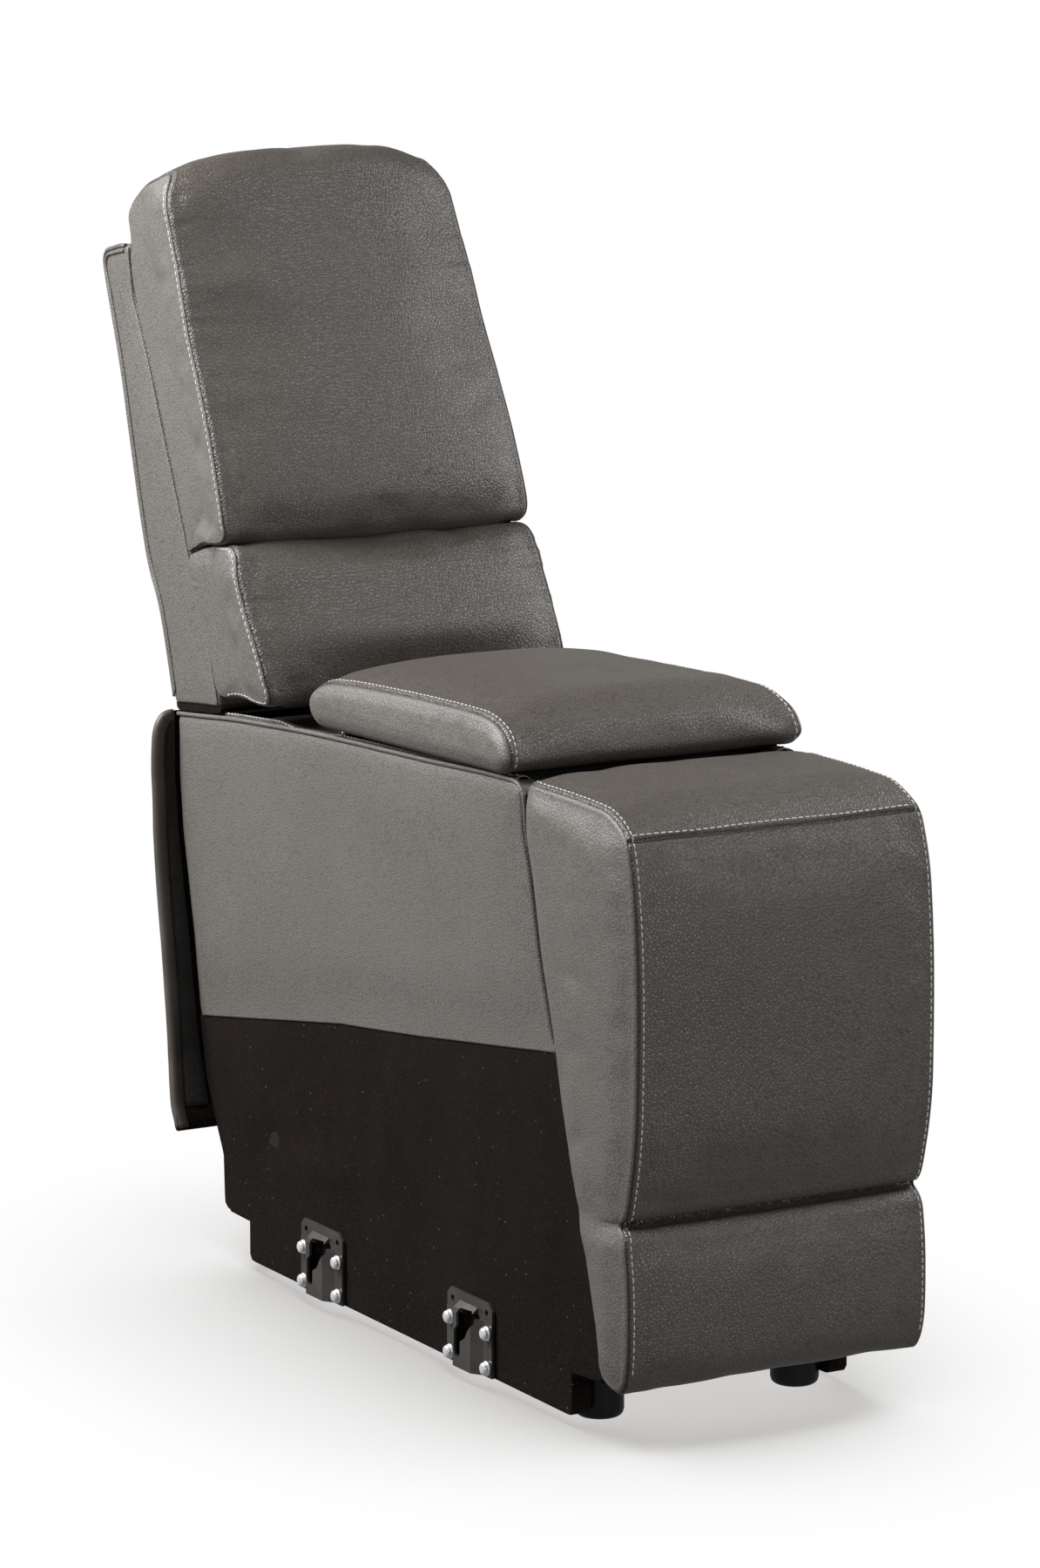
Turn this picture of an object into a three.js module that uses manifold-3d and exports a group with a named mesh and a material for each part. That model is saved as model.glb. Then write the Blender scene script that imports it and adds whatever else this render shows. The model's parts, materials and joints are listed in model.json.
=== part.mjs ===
// Storage console module of a reclining sectional: a narrow upholstered unit with a lift-up
// padded lid over a storage well, a fixed padded front, and a knock-down reclined back.
// Millimetres, +Z up, the front faces -Y, the origin is the middle of the footprint on the floor.

import * as THREE from 'three';
import { mergeVertices } from 'three/addons/utils/BufferGeometryUtils.js';
import Module from 'manifold-3d';

const wasm = await Module();
wasm.setup();

// ---------------------------------------------------------------- driving dimensions
const FRAME_SHIFT_Y = -375;   // section coordinates put y = 0 near the front feet
const SIDE_OUT = 145;           // outer face of the plywood sides
const PLY = 18;                 // side panel thickness
const SIDE_IN = SIDE_OUT - PLY;
const SKIN = 1.7;               // cover thickness on the sides
const GAP = 0.3;                // clearance between touching pieces
const LID_HALF = 150;           // lid half width at its seam
const PAD_HALF = 153;           // front pad half width at its seam
const SHELL_HALF = 150;         // back shell half width
const SHELL_WALL = 6;
const RECLINE = 18.9;           // degrees, slope of the back
const FOOT_R = 22.5, FOOT_H = 50;
const FOOT_X = 104, FOOT_FRONT_Y = 7, FOOT_REAR_Y = 572;
const HINGE_Y = 456, HINGE_Z = 556.6, HINGE_R = 4.5;
const WELL_FRONT = 118, WELL_REAR = 446, WELL_FLOOR = 300, BOARD = 12;
const BRACKET_PITCH = 287;      // distance between the two gang brackets on one side
const POST_W = 36, POST_T = 4;  // knock-down post section
const RAD = Math.PI / 180;

// ---------------------------------------------------------------- materials
const mat = (color, roughness, metalness = 0) =>
  new THREE.MeshStandardMaterial({ color, roughness, metalness });
const LEATHER = 0x6b6662, CLOTH = 0x141312, WOOD = 0xb99a6b, STEEL = 0x1d1c1c,
  ZINC = 0xc9ccd0, PLASTIC = 0x111111, WEBBING = 0x4a4038, LINING = 0x2a2827;

// ---------------------------------------------------------------- geometry helpers
const shapeOf = (pts, holes = []) => {
  const s = new THREE.Shape(pts.map(([a, b]) => new THREE.Vector2(a, b)));
  for (const h of holes) s.holes.push(new THREE.Path(h.map(([a, b]) => new THREE.Vector2(a, b))));
  return s;
};
const basis = (x, y, z) => new THREE.Matrix4().makeBasis(
  new THREE.Vector3(...x), new THREE.Vector3(...y), new THREE.Vector3(...z));

// outline in (y, z), swept along X from x0 to x1
const prismX = (pts, x0, x1, holes = [], steps = 1) => {
  const g = new THREE.ExtrudeGeometry(shapeOf(pts, holes), { depth: x1 - x0, steps, bevelEnabled: false });
  g.translate(0, 0, x0);
  g.applyMatrix4(basis([0, 1, 0], [0, 0, 1], [1, 0, 0]));
  return g;
};
// outline in (x, y), swept along Z from z0 to z1
const prismZ = (pts, z0, z1, holes = []) => {
  const g = new THREE.ExtrudeGeometry(shapeOf(pts, holes), { depth: z1 - z0, bevelEnabled: false });
  g.translate(0, 0, z0);
  return g;
};
const box = (x0, x1, y0, y1, z0, z1) => {
  const g = new THREE.BoxGeometry(x1 - x0, y1 - y0, z1 - z0);
  g.translate((x0 + x1) / 2, (y0 + y1) / 2, (z0 + z1) / 2);
  return g;
};
// cylinder along X
const rodX = (r, x0, x1, y, z, n = 12) => {
  const g = new THREE.CylinderGeometry(r, r, x1 - x0, n);
  g.rotateZ(Math.PI / 2);
  g.translate((x0 + x1) / 2, y, z);
  return g;
};
// cylinder along Z
const rodZ = (r, x, y, z0, z1, n = 16) => {
  const g = new THREE.CylinderGeometry(r, r, z1 - z0, n);
  g.rotateX(Math.PI / 2);
  g.translate(x, y, (z0 + z1) / 2);
  return g;
};
const mirrorX = (g) => {
  const m = g.clone();
  m.scale(-1, 1, 1);
  if (!m.index) {
    const p = m.attributes.position;
    const idx = [];
    for (let i = 0; i < p.count; i += 3) idx.push(i, i + 2, i + 1);
    m.setIndex(idx);
  } else {
    const a = m.index.array;
    for (let i = 0; i < a.length; i += 3) { const t = a[i + 1]; a[i + 1] = a[i + 2]; a[i + 2] = t; }
  }
  m.deleteAttribute('normal');
  m.computeVertexNormals();
  return m;
};
const toSolid = (g) => {
  const c = g.clone();
  c.deleteAttribute('normal'); c.deleteAttribute('uv');
  const m = mergeVertices(c, 1e-3);
  return new wasm.Manifold(new wasm.Mesh({
    numProp: 3,
    vertProperties: Float32Array.from(m.attributes.position.array),
    triVerts: Uint32Array.from(m.index.array),
  }));
};
const fromSolid = (s) => {
  const m = s.getMesh();
  const g = new THREE.BufferGeometry();
  g.setAttribute('position', new THREE.BufferAttribute(Float32Array.from(m.vertProperties), m.numProp));
  g.setIndex(new THREE.BufferAttribute(Uint32Array.from(m.triVerts), 1));
  g.computeVertexNormals();
  return g;
};
const cut = (g, ...tools) => {
  let s = toSolid(g);
  for (const t of tools) s = s.subtract(toSolid(t));
  return fromSolid(s);
};
const join = (...gs) => {
  let s = toSolid(gs[0]);
  for (const g of gs.slice(1)) s = s.add(toSolid(g));
  return fromSolid(s);
};
// a soft solid: the side outline swept across the width in `steps` slices; half(z) gives the
// half width, or half(z, y), crown(u, y, z) moves a point (u runs from -1 to 1 across the width)
const soft = (pts, half, steps, crown) => {
  const g = prismX(pts, -1, 1, [], steps);
  const p = g.attributes.position;
  for (let i = 0; i < p.count; i++) {
    const u = p.getX(i), y = p.getY(i), z = p.getZ(i);
    const [dy, dz] = crown(u, y, z);
    p.setXYZ(i, u * half(z, y), y + dy, z + dz);
  }
  g.computeVertexNormals();
  return g;
};
const lerpTable = (t) => (v) => {
  if (v <= t[0][0]) return t[0][1];
  for (let i = 1; i < t.length; i++) {
    if (v <= t[i][0]) {
      const k = (v - t[i - 1][0]) / (t[i][0] - t[i - 1][0]);
      return t[i - 1][1] + k * (t[i][1] - t[i - 1][1]);
    }
  }
  return t[t.length - 1][1];
};

// ---------------------------------------------------------------- model tree
const model = new THREE.Group();
const inner = new THREE.Group();
inner.position.y = FRAME_SHIFT_Y;
model.add(inner);
const put = (name, geometry, color, rough = 0.7, metal = 0, parent = inner) => {
  const m = new THREE.Mesh(geometry, mat(color, rough, metal));
  m.name = name;
  parent.add(m);
  return m;
};

// ================================================================ base carcass
// rear edge of the front pad, as (y, z) from the top to the bottom
const PAD_REAR = [[66, 562], [64, 529], [51, 490], [35, 423], [13, 355], [-3, 292],
  [-25, 219], [-46, 167], [-63, 110], [-73, 62]];
const frontEdge = (d) => PAD_REAR.map(([y, z]) => [y + d, z]);

const sideOutline = [
  [-14, 12], [604, 12], [604, 48], [648, 49], [657, 58], [659, 104], [671, 127], [697, 180],
  [707, 233], [719, 311], [731, 366], [742, 417], [748, 472], [748, 531], [633, 543],
  [485, 553], [243, 563], [123, 569], [85, 569], [76, 563], [69, 560],
  ...frontEdge(3).slice(1, 9), [-70, 54], [-14, 50]];
for (const [tag, s] of [['left', -1], ['right', 1]]) {
  const g = prismX(sideOutline, SIDE_IN, SIDE_OUT);
  put(`side_panel_${tag}`, s < 0 ? mirrorX(g) : g, WOOD, 0.8);

  const leather = prismX([
    [9, 337], [135, 320], [257, 303], [414, 284], [709, 235], [715, 271], [721, 311],
    [733, 366], [744, 417], [750, 472], [750, 533], [633, 545.5], [485, 555.5], [411, 558.5],
    [243, 565.5], [123, 571.5], [85, 571.5], [75, 566], [69, 562], [66.6, 529], [53.6, 490],
    [37.6, 423], [15.6, 355]], SIDE_OUT + GAP, SIDE_OUT + GAP + SKIN);
  put(`side_leather_${tag}`, s < 0 ? mirrorX(leather) : leather, LEATHER, 0.5);

  const cloth = prismX([
    [8.5, 336.6], [135, 319.6], [257, 302.6], [414, 283.6], [708.9, 234.6], [698, 180], [673, 127],
    [661, 104], [659, 56], [650, 51], [606, 50], [606, 14], [597, 10], [-16, 10], [-16, 50],
    [-72, 53], [-60.4, 110], [-43.4, 167], [-22.4, 219], [-0.4, 292]],
  SIDE_OUT + GAP, SIDE_OUT + GAP + SKIN);
  put(`side_cloth_${tag}`, s < 0 ? mirrorX(cloth) : cloth, CLOTH, 0.95);
}

// cross members between the sides
const IN = SIDE_IN - GAP;
const boardHole = (x, y) => rodZ(3.4, x, y, 40, 80, 12);
put('front_foot_board', cut(box(-IN, IN, -13.5, 72, FOOT_H + GAP, FOOT_H + PLY),
  boardHole(-FOOT_X, FOOT_FRONT_Y), boardHole(FOOT_X, FOOT_FRONT_Y)), WOOD, 0.8);
put('rear_foot_board', cut(box(-IN, IN, 520, 603.5, FOOT_H + GAP, FOOT_H + PLY),
  boardHole(-FOOT_X, FOOT_REAR_Y), boardHole(FOOT_X, FOOT_REAR_Y)), WOOD, 0.8);
put('front_rail', box(-IN, IN, -13.5, 4.5, FOOT_H + PLY + GAP, 172), WOOD, 0.8);
put('rear_rail_lower', box(-IN, IN, 630, 648, 54, 140), WOOD, 0.8);
put('rear_rail_upper', box(-IN, IN, 735.5, 746.5, 476, 528), WOOD, 0.8);
put('bottom_dust_cloth', box(-IN, IN, 73, 519, FOOT_H - 2.5, FOOT_H - 1), CLOTH, 0.95);

// storage well: five boards between the sides
const wellTop = (y) => 565.5 - (y - 130) * 0.0425;
put('well_front_wall', box(-IN, IN, WELL_FRONT, WELL_FRONT + BOARD, WELL_FLOOR, 564), LINING, 0.9);
put('well_rear_wall', box(-IN, IN, WELL_REAR - BOARD, WELL_REAR, WELL_FLOOR, 546), LINING, 0.9);
const wellSide = prismX([
  [WELL_FRONT + BOARD + GAP, WELL_FLOOR], [WELL_REAR - BOARD - GAP, WELL_FLOOR],
  [WELL_REAR - BOARD - GAP, wellTop(434)], [WELL_FRONT + BOARD + GAP, wellTop(130)]],
IN - BOARD, IN);
put('well_side_right', wellSide, LINING, 0.9);
put('well_side_left', mirrorX(wellSide), LINING, 0.9);
put('well_floor', box(-IN + BOARD + GAP, IN - BOARD - GAP, WELL_FRONT + BOARD + GAP,
  WELL_REAR - BOARD - GAP, WELL_FLOOR, WELL_FLOOR + BOARD), LINING, 0.9);

// decks in front of and behind the lid
put('front_deck', box(-IN, IN, 75, WELL_FRONT - GAP, 546, 567), LEATHER, 0.5);
put('rear_deck', prismX([[WELL_REAR + GAP, 529], [655, 519], [655, 537], [WELL_REAR + GAP, 547]],
  -IN, IN), LEATHER, 0.5);
put('lid_rest_strip', box(-118, 118, 120, 128, 564 + GAP, 573.6), PLASTIC, 0.8);

// ================================================================ front pad
const padOutline = [
  [48, 573], [27, 574], [-14, 574], [-52, 573], [-80, 571], [-98, 565], [-111, 558], [-119, 550],
  [-127.5, 527], [-134, 496], [-140, 429], [-141, 348], [-139, 293], [-131.5, 248], [-120, 214],
  [-116.5, 207], [-120, 196], [-126, 170], [-130, 132], [-128, 82], [-121, 62], [-112, 56],
  ...[...PAD_REAR].reverse()];
put('front_pad', soft(padOutline, (z) => (z > 560 ? 149 : z > 540 ? 152 : z > 215 ? 154.5 : z > 200 ? 154 : 156),
  6, (u, y, z) => {
    const c = 1 - u * u;
    const front = z < 560 && y < -105 ? 1 : 0;
    return [front ? -8 * c * (z > 214 || z < 200 ? 1 : 0.4) : 0, z > 560 && y < 60 ? 6 * c : 0];
  }), LEATHER, 0.5);
put('pad_board', prismX([[70.7, 545], [-49.5, 118], [-33.9, 113.6], [86, 541]].map(([y, z]) => [y + 0.6, z]),
  -IN, IN), WOOD, 0.8);

// ================================================================ feet
// turned foot with a moulded-in stud that screws up into the foot board
const footProfile = [[0, 3], [6.5, 3], [8, 0], [16, 0], [19.6, 1.2], [21.7, 3.6], [FOOT_R, 7],
  [FOOT_R - 1, FOOT_H - 3], [FOOT_R - 2.5, FOOT_H], [3, FOOT_H], [3, 64], [0, 66]]
  .map(([r, z]) => new THREE.Vector2(r, z));
const footAt = (x, y) => {
  const g = new THREE.LatheGeometry(footProfile, 18);
  g.rotateX(Math.PI / 2);
  g.translate(x, y, 0);
  return g;
};
for (const [tag, x, y] of [['front_left', -FOOT_X, FOOT_FRONT_Y], ['front_right', FOOT_X, FOOT_FRONT_Y],
  ['rear_left', -FOOT_X, FOOT_REAR_Y], ['rear_right', FOOT_X, FOOT_REAR_Y]]) {
  put(`foot_${tag}`, footAt(x, y), PLASTIC, 0.35);
}

// ================================================================ gang brackets, left side
// a pressed plate: flat tab with two holes, side flanges, and a raised channel with a keyhole;
// d is measured outwards from the covered side
const plateDepth = (pts, z0, z1) => prismZ(pts.map(([y, d]) => [-(SIDE_OUT + 2 + d), y]), z0, z1);
const bracketAt = (dy) => {
  const tab = prismX([[121, 60], [204, 60], [204, 74], [198, 80], [128, 80], [121, 74]],
    -(SIDE_OUT + 2 + 3), -(SIDE_OUT + 2 + GAP), [
      [[194, 67.5], [196.2, 68.4], [197, 70.5], [196.2, 72.6], [194, 73.5], [191.8, 72.6], [191, 70.5], [191.8, 68.4]],
      [[131, 67.5], [133.2, 68.4], [134, 70.5], [133.2, 72.6], [131, 73.5], [128.8, 72.6], [128, 70.5], [128.8, 68.4]]]);
  const hat = plateDepth([[121, 0.7], [137.6, 0.7], [148.5, 8.2], [179, 8.2], [187.5, 0.7], [204, 0.7],
    [204, 3.5], [188.6, 3.5], [180.2, 11], [147.4, 11], [136.4, 3.5], [121, 3.5]], 10.5, 62);
  const cover = (() => {
    const s = [[8.2, 61.9], [11, 61.9], [9.4, 66], [3.2, 71.5], [0.5, 71.5], [0.5, 70], [7, 65]];
    const g = new THREE.ExtrudeGeometry(shapeOf(s.map(([d, z]) => [-(SIDE_OUT + 2 + d), z])),
      { depth: 32.8, bevelEnabled: false });
    g.applyMatrix4(basis([1, 0, 0], [0, 0, 1], [0, -1, 0]));
    g.translate(0, 180.2, 0);
    return g;
  })();
  const key = prismX([[167, 26], [168.6, 21.8], [172.5, 20], [176.4, 21.8], [178, 26], [178, 45],
    [173, 50], [173, 62], [170, 67], [150, 68], [144, 64], [144, 58], [153, 49], [158, 41], [167, 36]], -175, -140);
  const holes = [[196.5, 19], [196.5, 52], [128.5, 19], [128.5, 52]]
    .map(([y, z]) => rodX(3.3, -(SIDE_OUT + 12), -(SIDE_OUT + 1), y, z, 12));
  const g = cut(join(tab, hat, cover), key, ...holes);
  g.translate(0, dy, 0);
  return g;
};
const boltAt = (s, y, z, base) => {
  const g = new THREE.LatheGeometry([[0, 0], [2.9, 0], [2.9, base], [6.4, base], [6.4, base + 1.6],
    [5.2, base + 4.2], [0, base + 5.9]].map(([r, h]) => new THREE.Vector2(r, h)), 10);
  g.rotateZ(-Math.PI / 2);
  g.translate(SIDE_OUT + 2 + GAP, y, z);
  return s < 0 ? mirrorX(g) : g;
};
for (const [tag, dy] of [['front', 0], ['rear', BRACKET_PITCH]]) {
  [[196.5, 19], [196.5, 52], [128.5, 19], [128.5, 52]].forEach(([y, z], i) =>
    put(`bracket_bolt_${tag}_${i + 1}`, boltAt(-1, y + dy, z, 3.8), ZINC, 0.3, 1));
}
put('keyhole_bracket_front', bracketAt(0), STEEL, 0.45, 0.6);
put('keyhole_bracket_rear', bracketAt(BRACKET_PITCH), STEEL, 0.45, 0.6);

// stud plates, right side: the neighbour's keyholes drop over these
const studPlateAt = (dy) => {
  const x0 = SIDE_OUT + 2 + GAP;
  const plate = prismX([[140, 12], [205, 12], [205, 58], [199, 64], [146, 64], [140, 58]], x0, x0 + 3, []);
  const stud = (() => {
    const g = new THREE.LatheGeometry([[0, 0], [4.8, 0], [4.8, 9], [10.5, 9.6], [10.5, 12.4], [8.6, 13.4], [0, 13.4]]
      .map(([r, h]) => new THREE.Vector2(r, h)), 16);
    g.rotateZ(-Math.PI / 2);
    g.translate(x0 + 1, 172.5, 26);
    return g;
  })();
  const holes = [[147.5, 19], [147.5, 52], [197.5, 19], [197.5, 52]].map(([y, z]) => rodX(3.3, x0 - 2, x0 + 6, y, z, 12));
  const g = cut(join(plate, stud), ...holes);
  g.translate(0, dy, 0);
  return g;
};
put('stud_plate_front', studPlateAt(0), STEEL, 0.45, 0.6);
put('stud_plate_rear', studPlateAt(BRACKET_PITCH), STEEL, 0.45, 0.6);

// ================================================================ rear skirt and its side flaps
// a sheet that closes the rear of the base; its edges stand past the sides as bound flaps
const SKIRT = [[756, 533], [756, 472], [750, 417], [740, 366], [728, 311], [720, 262], [707, 200], [690, 150], [681, 129]];
const skirtHalf = lerpTable([[129, 186], [150, 185], [200, 180], [262, 177.5], [311, 176.5], [366, 175], [443, 172], [505, 171.5], [533, 150]]);
const skirtGeo = (() => {
  const front = SKIRT, rear = [...SKIRT].reverse().map(([y, z]) => [y + 3, z]);
  return soft([...front, ...rear], (z) => skirtHalf(z), 1, () => [0, 0]);
})();
put('rear_skirt', skirtGeo, LEATHER, 0.5);

// ================================================================ lid
const lid = new THREE.Group();
inner.add(lid);
const lidOutline = [[452, 600], [440, 606], [427, 610], [394, 614], [330, 618], [266, 621], [204, 623], [158, 624], [128, 623],
  [107, 618], [92, 610], [83, 598], [81, 588], [89, 580], [104, 575.2], [447, 565.2], [457, 571], [464, 580], [462, 590]];
const lidBoard = (d) => [[100, 575.4 - 6 * (d > 0)], [448, 565.4 - 6 * (d > 0)], [448 + d, 577.4 + d], [100 - d, 587.4 + d]];
const lidSoft = soft(lidOutline, (z) => (z > 615 ? 149 : z > 600 ? 151 : z > 575 ? 152.5 : 150.5), 6,
  (u, y, z) => [z > 575 && z < 612 && y < 100 ? -4 * (1 - u * u) : 0, z > 595 ? 13 * (1 - u ** 4) * (y > 430 ? 0.5 : y < 100 ? 0.3 : 1) : 0]);
const pocket = prismX([[100 - GAP, 560], [448 + GAP, 550], [448 + GAP, 577.4 + GAP], [100 - GAP, 587.4 + GAP]], -138.3, 138.3);
put('lid_cushion', cut(lidSoft, pocket), LEATHER, 0.5, 0, lid);
put('lid_board', prismX(lidBoard(0), -138, 138), WOOD, 0.8, 0, lid);

// continuous hinge: one leaf on the deck, one under the lid board, alternate knuckles on one pin
const KNUCKLE = 40, HINGE_HALF = 3 * KNUCKLE;
const bore = rodX(2.2, -HINGE_HALF - 1, HINGE_HALF + 1, HINGE_Y, HINGE_Z, 12);
const barrel = () => rodX(HINGE_R, -HINGE_HALF, HINGE_HALF, HINGE_Y, HINGE_Z, 14);
const notch = (i, y0, y1) => box(-HINGE_HALF + i * KNUCKLE - 0.4, -HINGE_HALF + (i + 1) * KNUCKLE + 0.4,
  HINGE_Y + y0, HINGE_Y + y1, HINGE_Z - 9, HINGE_Z + 9);
const deckZ = (y) => 547 - (y - 446.3) * 0.0479;
const lidZ = (y) => 565.4 + (448 - y) * 0.02874;
const fixedLeaf = prismX([[HINGE_Y + 1.2, HINGE_Z - 4.2], [HINGE_Y + 3.4, HINGE_Z - 3], [HINGE_Y + 8, deckZ(464) + 2.6],
  [492, deckZ(492) + 2.4], [492, deckZ(492) + 0.4], [HINGE_Y + 6, deckZ(462) + 0.4]], -HINGE_HALF, HINGE_HALF);
put('hinge_fixed_leaf', cut(join(fixedLeaf, barrel()), bore,
  notch(1, -8, 6.2), notch(3, -8, 6.2), notch(5, -8, 6.2)), STEEL, 0.4, 0.8);
const movingLeaf = prismX([[HINGE_Y - 2.6, HINGE_Z + 3.2], [HINGE_Y - 0.4, HINGE_Z + 4.2], [446, lidZ(446) - 0.5],
  [420, lidZ(420) - 0.5], [420, lidZ(420) - 2.5], [445, lidZ(445) - 2.5]], -HINGE_HALF, HINGE_HALF);
put('hinge_lid_leaf', cut(join(movingLeaf, barrel()), bore,
  notch(0, -6.2, 8), notch(2, -6.2, 8), notch(4, -6.2, 8)), STEEL, 0.4, 0.8, lid);
put('hinge_pin', rodX(1.9, -HINGE_HALF - 1, HINGE_HALF + 1, HINGE_Y, HINGE_Z, 12), ZINC, 0.3, 1);

// ================================================================ knock-down receivers and lock levers
// tilted frame: local z runs up the recline, local y runs to the rear
const TILT_O = [0, 694, 470];
const tilted = (parent) => {
  const g = new THREE.Group();
  g.position.set(...TILT_O);
  g.rotation.x = -RECLINE * RAD;
  parent.add(g);
  return g;
};
const baseTilt = tilted(inner);
const CH = POST_W / 2 + 0.5;                  // half width of the channel
const LEVER_Y = CH + 4 + 0.5;                 // front face of the lock lever
const LEVER_X = IN - 15, LEVER_Z = 20;        // its pivot
const recv = (() => {
  // plan section of the channel: lips on the inner side, the rear wall reaches inwards as the lever's plate
  const pts = [[IN, -CH - 3], [IN, CH + 4], [IN - 25, CH + 4], [IN - 25, CH + 1], [IN - 9.2, CH + 1],
    [IN - 9.2, CH - 6], [IN - 7, CH - 6], [IN - 7, CH], [IN - 2.2, CH], [IN - 2.2, -CH], [IN - 7, -CH],
    [IN - 7, -CH + 6], [IN - 9.2, -CH + 6], [IN - 9.2, -CH - 3]];
  const channel = prismZ(pts, -46, 46);
  const stop = box(IN - 8, IN - 1, -CH - 1, CH + 1, -49, -45.9);
  const rivet = new THREE.LatheGeometry([[0, CH + 2], [1.9, CH + 2], [1.9, LEVER_Y + 3.4], [4.2, LEVER_Y + 3.4],
    [4.2, LEVER_Y + 5], [0, LEVER_Y + 5.4]].map(([r, h]) => new THREE.Vector2(r, h)), 12);
  rivet.translate(LEVER_X, 0, LEVER_Z);
  return join(channel, stop, rivet);
})();
put('receiver_right', recv, STEEL, 0.45, 0.6, baseTilt);
put('receiver_left', mirrorX(recv), STEEL, 0.45, 0.6, baseTilt);

// lock lever: turns on the receiver's rivet, its handle hangs down
const leverGeo = (() => {
  const s = [[-4, 13], [3, 13], [7, 6], [8, 0], [6.5, -7], [5, -50], [6.5, -56], [6, -62], [0, -65],
    [-6, -62], [-6.5, -56], [-5, -50], [-6.5, -7], [-8, 0], [-7, 6]];
  const g = new THREE.ExtrudeGeometry(shapeOf(s), { depth: 3, bevelEnabled: false });
  g.applyMatrix4(basis([1, 0, 0], [0, 0, 1], [0, -1, 0]));
  g.translate(0, LEVER_Y + 3, 0);
  const hole = new THREE.CylinderGeometry(2.3, 2.3, 20, 12);
  hole.translate(0, LEVER_Y, 0);
  const l = cut(g, hole);
  l.translate(LEVER_X, 0, LEVER_Z);
  return l;
})();
put('lock_lever_right', leverGeo, STEEL, 0.45, 0.6, baseTilt);
put('lock_lever_left', mirrorX(leverGeo), STEEL, 0.45, 0.6, baseTilt);

// ================================================================ back module
const back = new THREE.Group();
inner.add(back);
const shellOuter = [[753, 541.5], [783, 632], [806, 672], [822, 716], [845, 796], [864, 863], [895, 950],
  [899, 968], [894, 976], [880, 980], [862, 984], [846, 985], [840, 955], [836, 934], [825, 913], [813, 891],
  [802, 870], [766, 791], [726, 705], [721, 692], [700, 652], [683, 615], [666, 568], [661, 551]];
const shellInner = [[739, 530], [770, 634], [793, 675], [809, 720], [832, 799], [851, 866], [880, 950],
  [884, 965], [880, 972], [870, 974], [790, 974], [640, 780], [600, 530]];
put('back_shell', cut(prismX(shellOuter, -SHELL_HALF, SHELL_HALF),
  prismX(shellInner, -SHELL_HALF + SHELL_WALL, SHELL_HALF - SHELL_WALL)), LEATHER, 0.5, 0, back);

const UP_OUT = SHELL_HALF - SHELL_WALL - GAP;       // outer face of the back uprights
const upright = prismX([[736, 560], [767, 638], [790, 678], [806, 722], [829, 801], [848, 868], [874, 945],
  [876, 960], [850, 966], [846, 955], [831, 913], [808, 870], [772, 791], [732, 705], [727, 692], [706, 652],
  [689, 615], [676, 575], [672, 560]], UP_OUT - PLY, UP_OUT);
put('back_upright_right', upright, WOOD, 0.8, 0, back);
put('back_upright_left', mirrorX(upright), WOOD, 0.8, 0, back);
const RAIL_X = UP_OUT - PLY - GAP;
const railAt = (y, z, w, h) => {
  // a rail square to the recline, centred on (y, z), w deep and h tall
  const c = Math.cos(RECLINE * RAD), s = Math.sin(RECLINE * RAD);
  const p = (a, b) => [y + a * c + b * s, z - a * s + b * c];
  return prismX([p(-w / 2, -h / 2), p(w / 2, -h / 2), p(w / 2, h / 2), p(-w / 2, h / 2)], -RAIL_X, RAIL_X);
};
put('back_rail_bottom', railAt(699, 592, PLY, 56), WOOD, 0.8, 0, back);
put('back_rail_top', railAt(851, 929, PLY, 56), WOOD, 0.8, 0, back);
// elastic webbing: four bands across the uprights woven through two that run up the back
const WEB_TILT = 24.5 * RAD;
const webPlane = (a, b) => [722 + a * Math.cos(WEB_TILT) + b * Math.sin(WEB_TILT),
  705 - a * Math.sin(WEB_TILT) + b * Math.cos(WEB_TILT)];
const webAcross = (b) => prismX([webPlane(0, b - 24), webPlane(1.6, b - 24), webPlane(1.6, b + 24), webPlane(0, b + 24)],
  -UP_OUT + 2, UP_OUT - 2);
const webUp = (x) => prismX([webPlane(0.2, -92), webPlane(1.8, -92), webPlane(1.8, 196), webPlane(0.2, 196)], x - 24, x + 24);
put('back_webbing', join(webAcross(-66), webAcross(12), webAcross(90), webAcross(168), webUp(-52), webUp(52)),
  WEBBING, 0.95, 0, back);

// cushions
const headOutline = [[650, 717], [634, 719], [616, 726], [609, 734], [610, 746], [628, 800], [655, 856], [685, 912], [704, 957],
  [723, 995], [733, 1016], [743, 1036], [750, 1048], [758, 1059], [766, 1061], [780, 1055], [807, 1045], [822, 1037], [835, 1026],
  [842, 1015], [839, 1002], [837, 988], [835, 958], [819, 914], [796, 871], [760, 792], [721, 707], [716, 696], [700, 704], [675, 713]];
const headHalf = lerpTable([[727, 166.5], [740, 168], [794, 166.5], [850, 164.5], [906, 163], [951, 161], [989, 159], [1030, 157.5],
  [1042, 154], [1052, 148], [1062, 141]]);
const headFront = lerpTable([[719, 634], [734, 609], [746, 610], [800, 628], [856, 655], [912, 685], [957, 704], [995, 723], [1036, 743], [1061, 766]]);
// both back cushions narrow from the front seam to the shell
const taper = (half, front, depth, rear) => (z, y) => {
  const k = Math.min(1, Math.max(0, (y - front(z) - 8) / depth));
  return half(z) + (Math.min(half(z), rear) - half(z)) * k;
};
put('head_cushion', soft(headOutline, taper(headHalf, headFront, 60, 150.5), 8, (u, y, z) => {
  const c = 1 - u * u;
  const f = Math.max(0, 1 - Math.max(0, y - headFront(z)) / 40);
  const mid = Math.sin(Math.PI * Math.min(1, Math.max(0, (z - 700) / 380)));
  const top = z > 1000 ? Math.min(1, (z - 1000) / 45) : 0;
  return [-26 * c * f * Math.sqrt(mid), 24 * c * top];
}), LEATHER, 0.5, 0, back);

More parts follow.
